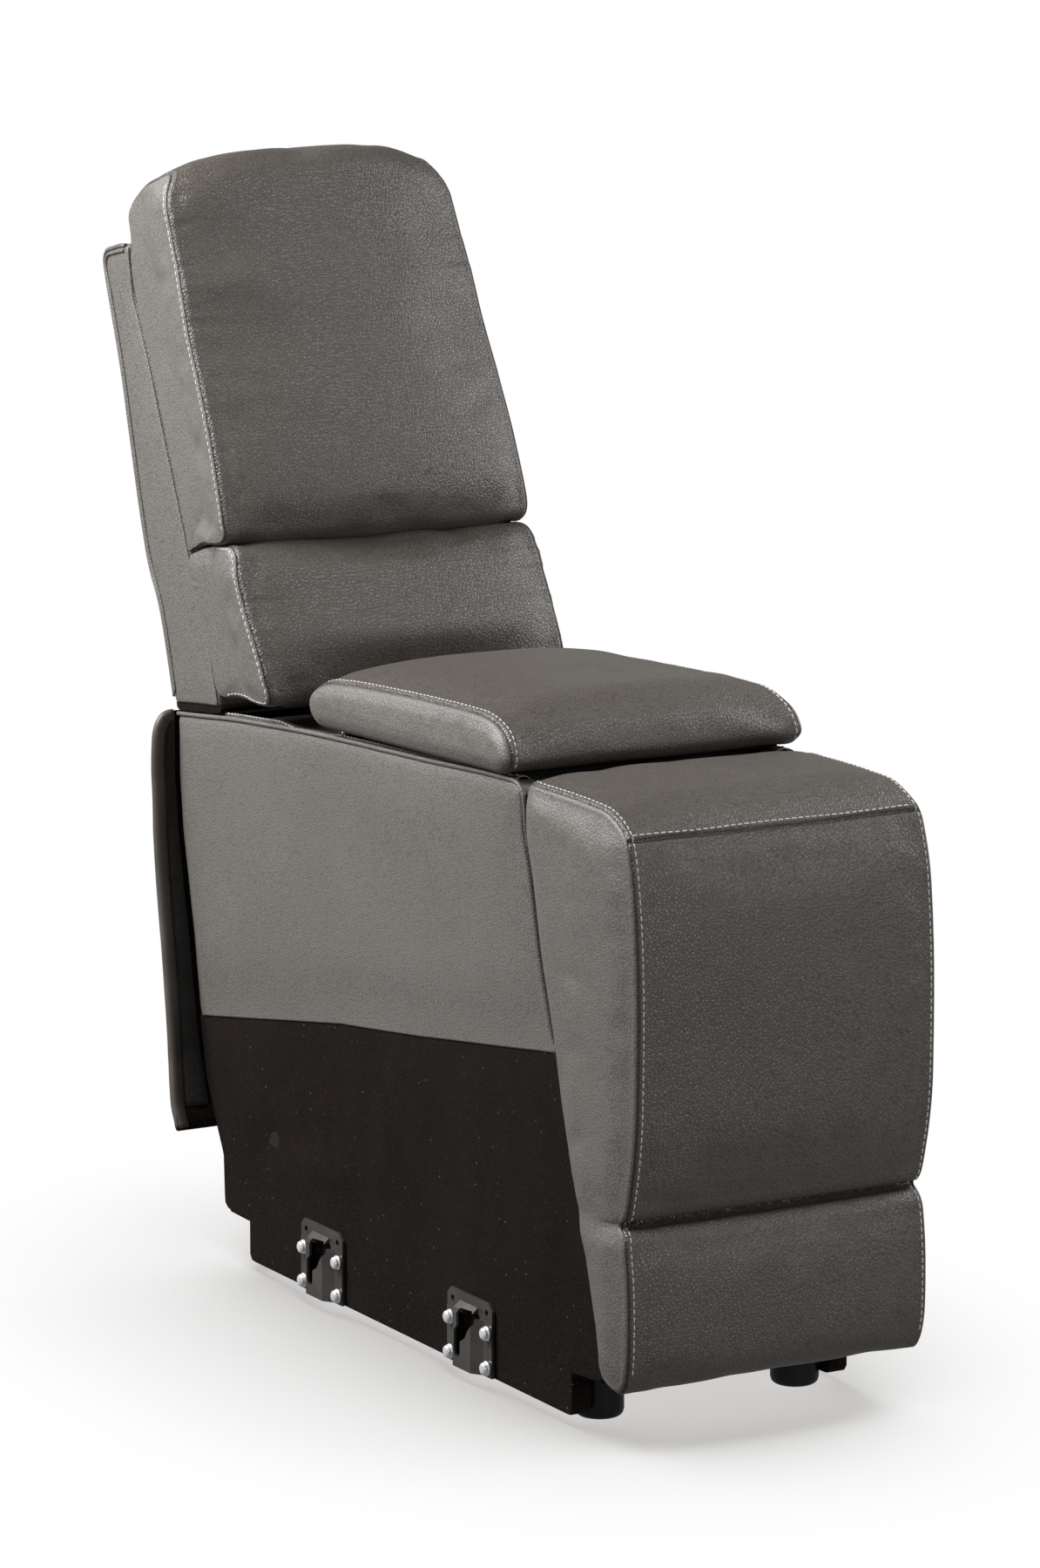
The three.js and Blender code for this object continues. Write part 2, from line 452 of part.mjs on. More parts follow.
const lumbarOutline = [[612, 714.5], [604, 715], [596, 710], [587, 699], [570, 669], [552, 641], [539, 619], [529, 598], [524, 581],
  [528, 573], [540, 571], [564, 569], [590, 569], [615, 568], [639, 564], [652, 568], [662, 591], [680, 628], [697, 664], [700, 682],
  [693, 690], [683, 697], [657, 706.5], [630, 712]];
const lumbarFront = lerpTable([[570, 530], [581, 524], [598, 529], [619, 539], [641, 552], [669, 570], [699, 587], [715, 604]]);
const lumbarHalf = lerpTable([[565, 160], [600, 164.5], [650, 166.5], [690, 166.5], [715, 162]]);
put('lumbar_cushion', soft(lumbarOutline, taper(lumbarHalf, lumbarFront, 60, 154), 8, (u, y, z) => {
  const c = 1 - u * u;
  const f = Math.max(0, 1 - Math.max(0, y - lumbarFront(z)) / 40);
  const mid = Math.sin(Math.PI * Math.min(1, Math.max(0, (z - 560) / 165)));
  return [-24 * c * f * Math.sqrt(mid), 0];
}), LEATHER, 0.5, 0, back);

// knock-down posts: fixed to the uprights, they run down into the receivers
const backTilt = tilted(back);
const post = (() => {
  const x0 = IN - 2.2 - 0.5 - POST_T;
  const bar = prismX([[-POST_W / 2, -40], [-POST_W / 2 + 5, -45.6], [POST_W / 2 - 5, -45.6], [POST_W / 2, -40],
    [POST_W / 2, 205], [-POST_W / 2, 205]], x0, x0 + POST_T);
  return bar;
})();
put('back_post_right', post, STEEL, 0.45, 0.6, backTilt);
put('back_post_left', mirrorX(post), STEEL, 0.45, 0.6, backTilt);

export default model;
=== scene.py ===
import json
import math

import bmesh
import bpy
import numpy as np
from mathutils import Matrix, Vector, noise
from mathutils.bvhtree import BVHTree
from mathutils.geometry import delaunay_2d_cdt
from mathutils.kdtree import KDTree


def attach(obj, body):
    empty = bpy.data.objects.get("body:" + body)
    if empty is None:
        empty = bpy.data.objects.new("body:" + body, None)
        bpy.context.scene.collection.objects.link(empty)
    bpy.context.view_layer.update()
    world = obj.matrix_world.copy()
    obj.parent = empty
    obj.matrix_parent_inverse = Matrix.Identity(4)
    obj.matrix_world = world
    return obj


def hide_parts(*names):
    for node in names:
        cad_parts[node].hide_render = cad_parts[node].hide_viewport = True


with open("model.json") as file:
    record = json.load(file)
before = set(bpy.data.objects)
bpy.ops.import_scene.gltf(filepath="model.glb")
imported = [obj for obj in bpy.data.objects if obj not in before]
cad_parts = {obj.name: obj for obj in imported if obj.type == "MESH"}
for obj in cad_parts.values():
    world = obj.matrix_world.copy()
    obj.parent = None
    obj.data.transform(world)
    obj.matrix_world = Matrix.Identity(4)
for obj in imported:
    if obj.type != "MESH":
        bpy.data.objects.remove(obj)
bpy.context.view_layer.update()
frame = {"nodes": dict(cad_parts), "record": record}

SHIFT_Y = -375.0            # section coordinates (mm) to the row frame
RECLINE = math.radians(18.9)
scene = bpy.context.scene
scene.view_settings.view_transform = "Standard"
scene.view_settings.look = "None"

# ------------------------------------------------------------------ small helpers


def to_m(v):
    v = np.array(v, float).reshape(-1, 3)
    return np.stack([v[:, 0], v[:, 1] + SHIFT_Y, v[:, 2]], 1) / 1000.0


def nz(*p, scale=1.0, seed=0.0):
    return noise.noise(Vector((p[0] * scale + seed, (p[1] if len(p) > 1 else 0) * scale + 1.7 * seed,
                               (p[2] if len(p) > 2 else 0) * scale - seed)))


def smooth(a, b, x):
    t = np.clip((np.asarray(x, float) - a) / (b - a), 0, 1)
    return t * t * (3 - 2 * t)


def table(*rows):
    xs = np.array([r[0] for r in rows], float)
    ys = np.array([r[1] for r in rows], float)
    return lambda v: np.interp(v, xs, ys)


def catmull(pts, closed, sub=14):
    """Points on a centripetal Catmull-Rom curve through pts."""
    p = [np.array(q, float) for q in pts]
    n = len(p)
    if n == 2 and not closed:
        return np.array([p[0] + (p[1] - p[0]) * k / sub for k in range(sub + 1)])
    get = (lambda i: p[i % n]) if closed else (
        lambda i: p[i] if 0 <= i < n else (2 * p[0] - p[1] if i < 0 else 2 * p[-1] - p[-2]))
    out = []
    for i in range(n if closed else n - 1):
        a, b, c, d = get(i - 1), get(i), get(i + 1), get(i + 2)
        t0 = 0.0
        t1 = t0 + max(np.linalg.norm(b - a), 1e-6) ** 0.5
        t2 = t1 + max(np.linalg.norm(c - b), 1e-6) ** 0.5
        t3 = t2 + max(np.linalg.norm(d - c), 1e-6) ** 0.5
        for k in range(sub):
            t = t1 + (t2 - t1) * k / sub
            a1 = (t1 - t) / (t1 - t0) * a + (t - t0) / (t1 - t0) * b
            a2 = (t2 - t) / (t2 - t1) * b + (t - t1) / (t2 - t1) * c
            a3 = (t3 - t) / (t3 - t2) * c + (t - t2) / (t3 - t2) * d
            b1 = (t2 - t) / (t2 - t0) * a1 + (t - t0) / (t2 - t0) * a2
            b2 = (t3 - t) / (t3 - t1) * a2 + (t - t1) / (t3 - t1) * a3
            out.append((t2 - t) / (t2 - t1) * b1 + (t - t1) / (t2 - t1) * b2)
    if not closed:
        out.append(p[-1])
    return np.array(out)


def even(line, step, closed=False):
    """The line again with evenly spaced points; a closed one doesn't repeat its first point."""
    line = np.array(line, float)
    if closed:
        line = np.vstack([line, line[:1]])
    s = np.concatenate([[0], np.cumsum(np.linalg.norm(np.diff(line, axis=0), axis=1))])
    n = max(2, int(round(s[-1] / step)))
    at = np.linspace(0, s[-1], n + 1)
    out = np.stack([np.interp(at, s, line[:, k]) for k in range(line.shape[1])], 1)
    return out[:-1] if closed else out


def loop(pts, step, sharp=()):
    """Evenly spaced closed loop through pts, curved between the sharp corners."""
    sharp = sorted(sharp)
    if not sharp:
        return even(catmull(pts, True), step, True)
    n, out = len(pts), []
    for a, b in zip(sharp, sharp[1:] + [sharp[0] + n]):
        run = [pts[i % n] for i in range(a, b + 1)]
        out.append(even(catmull(run, False), step)[:-1])
    return np.vstack(out)


def ccw(q):
    area = 0.5 * np.sum(q[:, 0] * np.roll(q[:, 1], -1) - np.roll(q[:, 0], -1) * q[:, 1])
    return q if area > 0 else q[::-1]


def outward(q, blur=1):
    t = np.roll(q, -1, 0) - np.roll(q, 1, 0)
    n = np.stack([t[:, 1], -t[:, 0]], 1)
    n /= np.maximum(np.linalg.norm(n, axis=1, keepdims=True), 1e-9)
    for _ in range(blur):
        n = np.roll(n, 1, 0) + 2 * n + np.roll(n, -1, 0)
        n /= np.maximum(np.linalg.norm(n, axis=1, keepdims=True), 1e-9)
    return n


def to_segment(q, a, b):
    a, b = np.array(a, float), np.array(b, float)
    t = np.clip(((q - a) @ (b - a)) / ((b - a) @ (b - a)), 0, 1)
    return a + t[:, None] * (b - a)


def add_object(name, verts_mm, faces, mats, face_mat=None, smooth_shade=True, attrs=None, subdiv=0, merge=0.03):
    """A mesh object from points in section millimetres."""
    v = to_m(verts_mm)
    me = bpy.data.meshes.new(name)
    me.from_pydata([tuple(p) for p in v], [], [tuple(int(i) for i in f) for f in faces])
    me.update()
    for m in mats:
        me.materials.append(m)
    if face_mat is not None:
        me.polygons.foreach_set("material_index", np.array(face_mat, np.int32))
    for key, values in (attrs or {}).items():
        me.attributes.new(key, "FLOAT", "POINT").data.foreach_set("value", np.array(values, np.float32))
    bm = bmesh.new()
    bm.from_mesh(me)
    if merge:
        bmesh.ops.remove_doubles(bm, verts=bm.verts, dist=merge / 1000.0)
    bmesh.ops.dissolve_degenerate(bm, dist=1e-6, edges=bm.edges)
    bmesh.ops.recalc_face_normals(bm, faces=bm.faces)
    bm.to_mesh(me)
    bm.free()
    me.polygons.foreach_set("use_smooth", [smooth_shade] * len(me.polygons))
    me.update()
    o = bpy.data.objects.new(name, me)
    scene.collection.objects.link(o)
    if subdiv:
        s = o.modifiers.new("Subdivision", "SUBSURF")
        s.levels = s.render_levels = subdiv
    return o


def grid_faces(n, m, closed_n):
    out = []
    for i in range(n if closed_n else n - 1):
        a = i * m
        b = ((i + 1) % n) * m
        for j in range(m - 1):
            out.append((a + j, a + j + 1, b + j + 1, b + j))
    return out


def tube(name, line, radius, mats, body, closed=False, sides=8, flat=1.0, up=None):
    """A tube along a line in section millimetres; flat squeezes it along up."""
    line = np.array(line, float)
    n = len(line)
    if closed:
        t = np.roll(line, -1, 0) - np.roll(line, 1, 0)
    else:
        t = np.gradient(line, axis=0)
    t /= np.maximum(np.linalg.norm(t, axis=1, keepdims=True), 1e-9)
    ref = np.array(up if up is not None else (1.0, 0.0, 0.0), float)
    ref = np.tile(ref, (n, 1)) if ref.ndim == 1 else ref
    a = ref - (ref * t).sum(1, keepdims=True) * t
    a /= np.maximum(np.linalg.norm(a, axis=1, keepdims=True), 1e-9)
    b = np.cross(t, a)
    r = np.full(n, radius) if np.isscalar(radius) else np.array(radius, float)
    v = []
    for i in range(n):
        for k in range(sides):
            w = 2 * math.pi * k / sides
            v.append(line[i] + r[i] * (flat * math.cos(w) * a[i] + math.sin(w) * b[i]))
    f = []
    for i in range(n if closed else n - 1):
        j = (i + 1) % n
        for k in range(sides):
            l = (k + 1) % sides
            f.append((i * sides + k, i * sides + l, j * sides + l, j * sides + k))
    if not closed:
        f.append(tuple(range(sides))[::-1])
        f.append(tuple((n - 1) * sides + k for k in range(sides)))
    o = add_object(name, v, f, mats, merge=0)
    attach(o, body)
    return o


def bvh_of(o):
    dg = bpy.context.evaluated_depsgraph_get()
    e = o.evaluated_get(dg)
    m = e.to_mesh()
    tree = BVHTree.FromPolygons([v.co.copy() for v in m.vertices], [tuple(p.vertices) for p in m.polygons])
    e.to_mesh_clear()
    return tree


def stitches(name, line, on, body, pitch=7.0, length=5.4, radius=0.66, lift=0.25, seed=1):
    """Separate thread stitches along a line in section millimetres, laid on an object's surface."""
    tree = bvh_of(on)
    line = even(line, 0.7)
    s = np.concatenate([[0], np.cumsum(np.linalg.norm(np.diff(line, axis=0), axis=1))])
    count = int((s[-1] - 1) / pitch)
    sides, rings = 6, 7
    V, F = [], []
    for c in range(count):
        mid = (c + 0.5) * pitch + 0.35 * nz(c * 1.37, seed=seed)
        half = length / 2 * (1 + 0.06 * nz(c * 2.1, seed=seed + 5))
        base = len(V)
        pts, nrm = [], []
        for k in range(rings):
            u = -1 + 2 * k / (rings - 1)
            p = np.array([np.interp(mid + u * half, s, line[:, a]) for a in range(3)])
            q = Vector(to_m(p)[0])
            place, normal, _, _ = tree.find_nearest(q)
            n = np.array(normal)
            pts.append(np.array(place) * 1000 + n * (lift - 1.0 * radius * abs(u) ** 3))
            nrm.append(n)
        pts, nrm = np.array(pts), np.array(nrm)
        t = np.gradient(pts, axis=0)
        t /= np.maximum(np.linalg.norm(t, axis=1, keepdims=True), 1e-9)
        b = np.cross(t, nrm)
        b /= np.maximum(np.linalg.norm(b, axis=1, keepdims=True), 1e-9)
        for k in range(rings):
            u = -1 + 2 * k / (rings - 1)
            r = radius * (0.55 + 0.45 * math.sqrt(max(0.0, 1 - u ** 4)))
            for a in range(sides):
                w = 2 * math.pi * a / sides
                V.append(pts[k] + r * (1.12 * math.cos(w) * b[k] + 0.8 * math.sin(w) * nrm[k]))
        for k in range(rings - 1):
            for a in range(sides):
                d = (a + 1) % sides
                F.append((base + k * sides + a, base + k * sides + d, base + (k + 1) * sides + d, base + (k + 1) * sides + a))
        F.append(tuple(base + a for a in range(sides))[::-1])
        F.append(tuple(base + (rings - 1) * sides + a for a in range(sides)))
    V = np.array(V)
    V[:, 1] -= SHIFT_Y
    o = add_object(name, V, F, [M["thread"]], merge=0)
    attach(o, body)
    return o


# ------------------------------------------------------------------ materials
M = {}


def new_mat(name):
    m = bpy.data.materials.new(name)
    m.use_nodes = True
    t = m.node_tree
    t.nodes.clear()
    out = t.nodes.new("ShaderNodeOutputMaterial")
    b = t.nodes.new("ShaderNodeBsdfPrincipled")
    t.links.new(b.outputs[0], out.inputs[0])
    co = t.nodes.new("ShaderNodeTexCoord")
    return m, t, b, co.outputs["Object"]


def N(t, kind, **inputs):
    n = t.nodes.new(kind)
    for k, v in inputs.items():
        if k.startswith("_"):
            setattr(n, k[1:], v)
        else:
            n.inputs[k.replace("__", " ")].default_value = v
    return n


def noise_tex(t, co, scale, detail=3.0, rough=0.55, stretch=None):
    n = N(t, "ShaderNodeTexNoise", Scale=scale, Detail=detail, Roughness=rough)
    if stretch:
        mp = N(t, "ShaderNodeMapping")
        mp.inputs["Scale"].default_value = stretch
        t.links.new(co, mp.inputs["Vector"])
        co = mp.outputs[0]
    t.links.new(co, n.inputs["Vector"])
    return n.outputs[0]


def voronoi(t, co, scale, feature="F1", rand=1.0, warp=None):
    n = N(t, "ShaderNodeTexVoronoi", Scale=scale, Randomness=rand)
    n.feature = feature
    if warp is not None:
        add = t.nodes.new("ShaderNodeVectorMath")
        add.operation = "MULTIPLY_ADD"
        t.links.new(warp, add.inputs[0])
        add.inputs[1].default_value = (0.0012, 0.0012, 0.0012)
        t.links.new(co, add.inputs[2])
        co = add.outputs[0]
    t.links.new(co, n.inputs["Vector"])
    return n.outputs["Distance"]


def ramp(t, value, *stops):
    r = t.nodes.new("ShaderNodeValToRGB")
    e = r.color_ramp.elements
    while len(e) < len(stops):
        e.new(0.5)
    for k, (p, c) in enumerate(stops):
        e[k].position = p
        e[k].color = (*c, 1) if hasattr(c, "__len__") else (c, c, c, 1)
    t.links.new(value, r.inputs[0])
    return r.outputs[0]


def mth(t, op, a, b=None, c=None):
    n = t.nodes.new("ShaderNodeMath")
    n.operation = op
    for k, v in enumerate((a, b, c)):
        if v is None:
            continue
        if isinstance(v, (int, float)):
            n.inputs[k].default_value = v
        else:
            t.links.new(v, n.inputs[k])
    return n.outputs[0]


def mix(t, a, b, fac, mode="MIX"):
    n = t.nodes.new("ShaderNodeMix")
    n.data_type = "RGBA"
    n.blend_type = mode
    for s, v in ((n.inputs[0], fac), (n.inputs[6], a), (n.inputs[7], b)):
        if isinstance(v, (int, float)):
            s.default_value = v
        elif isinstance(v, tuple):
            s.default_value = (*v, 1)
        else:
            t.links.new(v, s)
    return n.outputs[2]


def bump(t, b, height, strength, distance, after=None):
    n = N(t, "ShaderNodeBump", Strength=strength, Distance=distance)
    t.links.new(height, n.inputs["Height"])
    if after is not None:
        t.links.new(after, n.inputs["Normal"])
    t.links.new(n.outputs[0], b.inputs["Normal"])
    return n.outputs[0]


def leather(name, light, dark, rough, grain=310.0, depth=0.0008, strength=0.5, sheen=0.02, coat=0.05, spec=0.45):
    m, t, b, co = new_mat(name)
    big = noise_tex(t, co, 5.0, 2.0)
    mid = noise_tex(t, co, 34.0, 3.0)
    fine = noise_tex(t, co, 900.0, 2.0)
    warp = N(t, "ShaderNodeTexNoise", Scale=260.0, Detail=1.0)
    t.links.new(co, warp.inputs["Vector"])
    peb = voronoi(t, co, grain, "F1", 0.95, warp.outputs["Color"])
    edge = voronoi(t, co, grain, "DISTANCE_TO_EDGE", 0.95, warp.outputs["Color"])
    peb2 = voronoi(t, co, grain * 2.3, "F1", 1.0)
    crease = noise_tex(t, co, 46.0, 3.0, 0.55)
    vary = mth(t, "ADD", mth(t, "MULTIPLY", big, 0.75), mth(t, "MULTIPLY", mid, 0.25))
    col = ramp(t, vary, (0.32, dark), (0.68, light))
    # grain valleys hold a little less light, the tops are lightly burnished
    valley = ramp(t, edge, (0.0, 0.42), (0.20, 1.06))
    col = mix(t, col, valley, 0.7, "MULTIPLY")
    col = mix(t, col, ramp(t, fine, (0.25, 0.86), (0.75, 1.1)), 0.5, "MULTIPLY")
    # painted shade: the seam attribute darkens the colour in seam grooves, gaps and creases where shade falls
    at = t.nodes.new("ShaderNodeAttribute")
    at.attribute_name = "seam"
    col = mix(t, col, mix(t, col, (0.05, 0.045, 0.042), 1.0, "MULTIPLY"), at.outputs["Fac"])
    t.links.new(col, b.inputs["Base Color"])
    rg = mth(t, "ADD", mth(t, "MULTIPLY", mid, 0.07), mth(t, "MULTIPLY", fine, 0.12))
    rg = mth(t, "ADD", rg, rough - 0.12)
    t.links.new(rg, b.inputs["Roughness"])
    h = mth(t, "ADD", mth(t, "MULTIPLY", ramp(t, edge, (0.0, 0.0), (0.22, 1.0)), 0.7), mth(t, "MULTIPLY", peb, -0.45))
    h = mth(t, "ADD", h, mth(t, "MULTIPLY", peb2, -0.22))
    h = mth(t, "ADD", h, mth(t, "MULTIPLY", fine, 0.18))
    first = bump(t, b, crease, 0.10, 0.0010)
    bump(t, b, h, strength, depth, first)
    b.inputs["Specular IOR Level"].default_value = spec
    b.inputs["Sheen Weight"].default_value = sheen
    b.inputs["Sheen Roughness"].default_value = 0.45
    b.inputs["Coat Weight"].default_value = coat
    b.inputs["Coat Roughness"].default_value = 0.38
    M[name] = m


# two copies of one leather colour: the darker panel copy and the lighter side copy are partly leather against vinyl,
# partly painted shade on the front panels and painted light on the sides
leather("leather_panel", (0.092, 0.080, 0.069), (0.077, 0.067, 0.057), 0.40)
leather("leather_side", (0.150, 0.139, 0.127), (0.130, 0.120, 0.109), 0.49, grain=330.0, depth=0.0007, strength=0.36)
leather("leather_edge", (0.060, 0.055, 0.050), (0.045, 0.041, 0.037), 0.5)


def nonwoven():
    m, t, b, co = new_mat("nonwoven_black")
    wave = []
    for d in ("Y", "Z"):
        w = N(t, "ShaderNodeTexWave", Scale=210.0, Distortion=1.6, Detail=1.5)
        w.bands_direction = d
        w.inputs["Detail Scale"].default_value = 40.0
        t.links.new(co, w.inputs["Vector"])
        wave.append(w.outputs["Fac"])
    weave = mth(t, "MULTIPLY", wave[0], wave[1])
    fib = noise_tex(t, co, 420.0, 4.0, 0.7, (1.0, 0.35, 2.4))
    big = noise_tex(t, co, 9.0, 3.0)
    lint = voronoi(t, co, 95.0, "F1", 1.0)
    lint_at = ramp(t, lint, (0.05, 1.0), (0.11, 0.0))
    keep = ramp(t, noise_tex(t, co, 33.0, 1.0), (0.50, 0.0), (0.60, 1.0))
    lint_on = mth(t, "MULTIPLY", lint_at, keep)
    col = ramp(t, mth(t, "ADD", mth(t, "MULTIPLY", big, 0.5), mth(t, "MULTIPLY", fib, 0.5)),
               (0.32, (0.0042, 0.0030, 0.0024)), (0.70, (0.0125, 0.0092, 0.0074)))
    col = mix(t, col, ramp(t, weave, (0.0, 0.62), (0.6, 1.25)), 0.7, "MULTIPLY")
    speck = ramp(t, noise_tex(t, co, 640.0, 1.0, 0.4), (0.60, 0.0), (0.70, 1.0))
    col = mix(t, col, (0.040, 0.020, 0.012), mth(t, "MULTIPLY", speck, 0.75))
    col = mix(t, col, (0.13, 0.10, 0.08), lint_on)
    t.links.new(col, b.inputs["Base Color"])
    t.links.new(mth(t, "ADD", mth(t, "MULTIPLY", fib, 0.12), 0.84), b.inputs["Roughness"])
    b.inputs["Specular IOR Level"].default_value = 0.06
    b.inputs["Sheen Weight"].default_value = 0.01
    b.inputs["Sheen Roughness"].default_value = 0.6
    h = mth(t, "ADD", mth(t, "MULTIPLY", weave, 0.7), mth(t, "MULTIPLY", fib, 0.5))
    bump(t, b, h, 0.8, 0.0006)
    M["nonwoven"] = m


nonwoven()


def fuzzy(name, light, dark):
    m, t, b, co = new_mat(name)
    fib = noise_tex(t, co, 700.0, 5.0, 0.8)
    clump = noise_tex(t, co, 120.0, 3.0)
    col = ramp(t, mth(t, "ADD", mth(t, "MULTIPLY", fib, 0.6), mth(t, "MULTIPLY", clump, 0.4)), (0.35, dark), (0.65, light))
    t.links.new(col, b.inputs["Base Color"])
    t.links.new(mth(t, "ADD", mth(t, "MULTIPLY", fib, 0.1), 0.88), b.inputs["Roughness"])
    b.inputs["Sheen Weight"].default_value = 0.12
    b.inputs["Sheen Roughness"].default_value = 0.5
    bump(t, b, fib, 0.9, 0.0012)
    M[name] = m


fuzzy("loop_black", (0.017, 0.014, 0.012), (0.0025, 0.002, 0.002))


def painted(name, light, dark, rough, metal=0.0, orange=260.0, strength=0.15, coat=0.2, spec=0.5):
    m, t, b, co = new_mat(name)
    n1 = noise_tex(t, co, orange, 2.0)
    n2 = noise_tex(t, co, 22.0, 4.0)
    geo = t.nodes.new("ShaderNodeNewGeometry")
    worn = ramp(t, geo.outputs["Pointiness"], (0.50, 0.0), (0.62, 1.0))
    col = ramp(t, n2, (0.3, dark), (0.7, light))
    col = mix(t, col, tuple(min(1.0, 2.1 * c + 0.01) for c in light), mth(t, "MULTIPLY", worn, mth(t, "MULTIPLY", n2, 0.7)))
    t.links.new(col, b.inputs["Base Color"])
    t.links.new(mth(t, "ADD", mth(t, "MULTIPLY", n2, 0.2), rough - 0.1), b.inputs["Roughness"])
    b.inputs["Metallic"].default_value = metal
    b.inputs["Coat Weight"].default_value = coat
    b.inputs["Coat Roughness"].default_value = 0.25
    b.inputs["Specular IOR Level"].default_value = spec
    bump(t, b, n1, strength, 0.0003)
    M[name] = m


painted("steel_black", (0.052, 0.047, 0.043), (0.026, 0.023, 0.021), 0.36, 0.3, 260.0, 0.12, 0.35, 0.6)
painted("plastic_black", (0.006, 0.0055, 0.005), (0.0035, 0.003, 0.003), 0.34, 0.0, 420.0, 0.10, 0.05, 0.3)


painted("vinyl_black", (0.072, 0.062, 0.054), (0.046, 0.039, 0.034), 0.44, 0.0, 500.0, 0.2, 0.0, 0.4)


def zinc():
    m, t, b, co = new_mat("zinc_bright")
    n1 = noise_tex(t, co, 350.0, 4.0, 0.6, (1.0, 6.0, 6.0))
    n2 = noise_tex(t, co, 60.0, 3.0)
    col = ramp(t, n2, (0.3, (0.82, 0.85, 0.88)), (0.7, (0.96, 0.97, 0.98)))
    t.links.new(mix(t, col, ramp(t, n1, (0.3, 0.88), (0.7, 1.0)), 0.6, "MULTIPLY"), b.inputs["Base Color"])
    t.links.new(mth(t, "ADD", mth(t, "MULTIPLY", n1, 0.18), 0.16), b.inputs["Roughness"])
    b.inputs["Metallic"].default_value = 0.5
    bump(t, b, n1, 0.12, 0.0002)
    M["zinc"] = m


zinc()


def plywood(name="plywood", black=None):
    m, t, b, co = new_mat(name + "_raw")
    grain = N(t, "ShaderNodeTexWave", Scale=9.0, Distortion=7.0, Detail=4.0)
    grain.bands_direction = "Z"
    grain.inputs["Detail Scale"].default_value = 1.6
    mp = N(t, "ShaderNodeMapping")
    mp.inputs["Scale"].default_value = (3.0, 0.6, 4.0)
    t.links.new(co, mp.inputs["Vector"])
    t.links.new(mp.outputs[0], grain.inputs["Vector"])
    ply = N(t, "ShaderNodeTexWave", Scale=56.0, Distortion=0.3)
    ply.bands_direction = "X"
    t.links.new(co, ply.inputs["Vector"])
    fine = noise_tex(t, co, 300.0, 4.0, 0.7, (1.0, 0.12, 1.0))
    col = ramp(t, grain.outputs["Fac"], (0.15, (0.46, 0.30, 0.155)), (0.85, (0.60, 0.43, 0.25)))
    col = mix(t, col, ramp(t, fine, (0.3, 0.8), (0.7, 1.1)), 0.6, "MULTIPLY")
    col = mix(t, col, ramp(t, ply.outputs["Fac"], (0.3, 0.72), (0.6, 1.0)), 0.35, "MULTIPLY")
    if black:
        sep = t.nodes.new("ShaderNodeSeparateXYZ")
        t.links.new(co, sep.inputs[0])
        low = mth(t, "LESS_THAN", sep.outputs["Z"], black[0])
        high = mth(t, "GREATER_THAN", sep.outputs["Z"], black[1])
        col = mix(t, col, ramp(t, fine, (0.3, (0.005, 0.004, 0.0035)), (0.7, (0.010, 0.008, 0.007))), mth(t, "ADD", low, high))
    t.links.new(col, b.inputs["Base Color"])
    t.links.new(mth(t, "ADD", mth(t, "MULTIPLY", fine, 0.15), 0.68), b.inputs["Roughness"])
    b.inputs["Specular IOR Level"].default_value = 0.3
    bump(t, b, fine, 0.25, 0.0004)
    M[name] = m


plywood()
plywood("plywood_stained", (0.340, 0.342))


def woven(name, light, dark, scale):
    m, t, b, co = new_mat(name)
    a = N(t, "ShaderNodeTexWave", Scale=scale, Distortion=0.4)
    a.bands_direction = "X"
    c = N(t, "ShaderNodeTexWave", Scale=scale * 0.8, Distortion=0.4)
    c.bands_direction = "Z"
    for w in (a, c):
        t.links.new(co, w.inputs["Vector"])
    weave = mth(t, "MULTIPLY", a.outputs["Fac"], c.outputs["Fac"])
    n = noise_tex(t, co, 40.0, 3.0)
    col = mix(t, ramp(t, weave, (0.0, dark), (0.7, light)), ramp(t, n, (0.3, 0.8), (0.7, 1.1)), 0.6, "MULTIPLY")
    t.links.new(col, b.inputs["Base Color"])
    t.links.new(mth(t, "ADD", mth(t, "MULTIPLY", n, 0.1), 0.8), b.inputs["Roughness"])
    bump(t, b, weave, 0.6, 0.0006)
    M[name] = m


woven("webbing", (0.16, 0.11, 0.07), (0.06, 0.04, 0.026), 180.0)


def thread():
    m, t, b, co = new_mat("thread_pale")
    n = noise_tex(t, co, 1500.0, 2.0)
    w = N(t, "ShaderNodeTexWave", Scale=420.0, Distortion=1.0)
    w.bands_direction = "DIAGONAL"
    t.links.new(co, w.inputs["Vector"])
    col = mix(t, ramp(t, n, (0.3, (0.40, 0.375, 0.34)), (0.7, (0.60, 0.57, 0.53))),
              ramp(t, w.outputs["Fac"], (0.2, 0.8), (0.7, 1.05)), 0.6, "MULTIPLY")
    t.links.new(col, b.inputs["Base Color"])
    t.links.new(mth(t, "ADD", mth(t, "MULTIPLY", n, 0.1), 0.5), b.inputs["Roughness"])
    b.inputs["Sheen Weight"].default_value = 0.2
    bump(t, b, w.outputs["Fac"], 0.4, 0.0002)
    M["thread"] = m


thread()

SLOT_MAT = {"plywood": "plywood", "well_lining": "nonwoven", "plastic_black": "plastic_black",
            "steel_black": "steel_black", "zinc": "zinc", "webbing": "webbing",
            "cloth_black": "nonwoven", "leather_grey": "leather_side"}
for part in frame["record"]["subparts"]:
    o = frame["nodes"][part["node"]]
    o.data.materials.clear()
    o.data.materials.append(M[SLOT_MAT[part["material_slot"]]])
for n in ("side_panel_left", "side_panel_right", "front_foot_board", "rear_foot_board", "front_rail", "rear_rail_lower", "rear_rail_upper", "pad_board",
          "lid_board", "back_rail_bottom"):
    o = frame["nodes"][n]
    o.data.materials.clear()
    o.data.materials.append(M["plywood_stained"])
for n in ("foot_front_left", "foot_front_right", "foot_rear_left", "foot_rear_right", *[
        f"bracket_bolt_{a}_{k}" for a in ("front", "rear") for k in (1, 2, 3, 4)], "hinge_pin"):
    o = frame["nodes"][n]
    e = o.modifiers.new("Split", "EDGE_SPLIT")
    e.split_angle = math.radians(34)
    o.data.polygons.foreach_set("use_smooth", [True] * len(o.data.polygons))
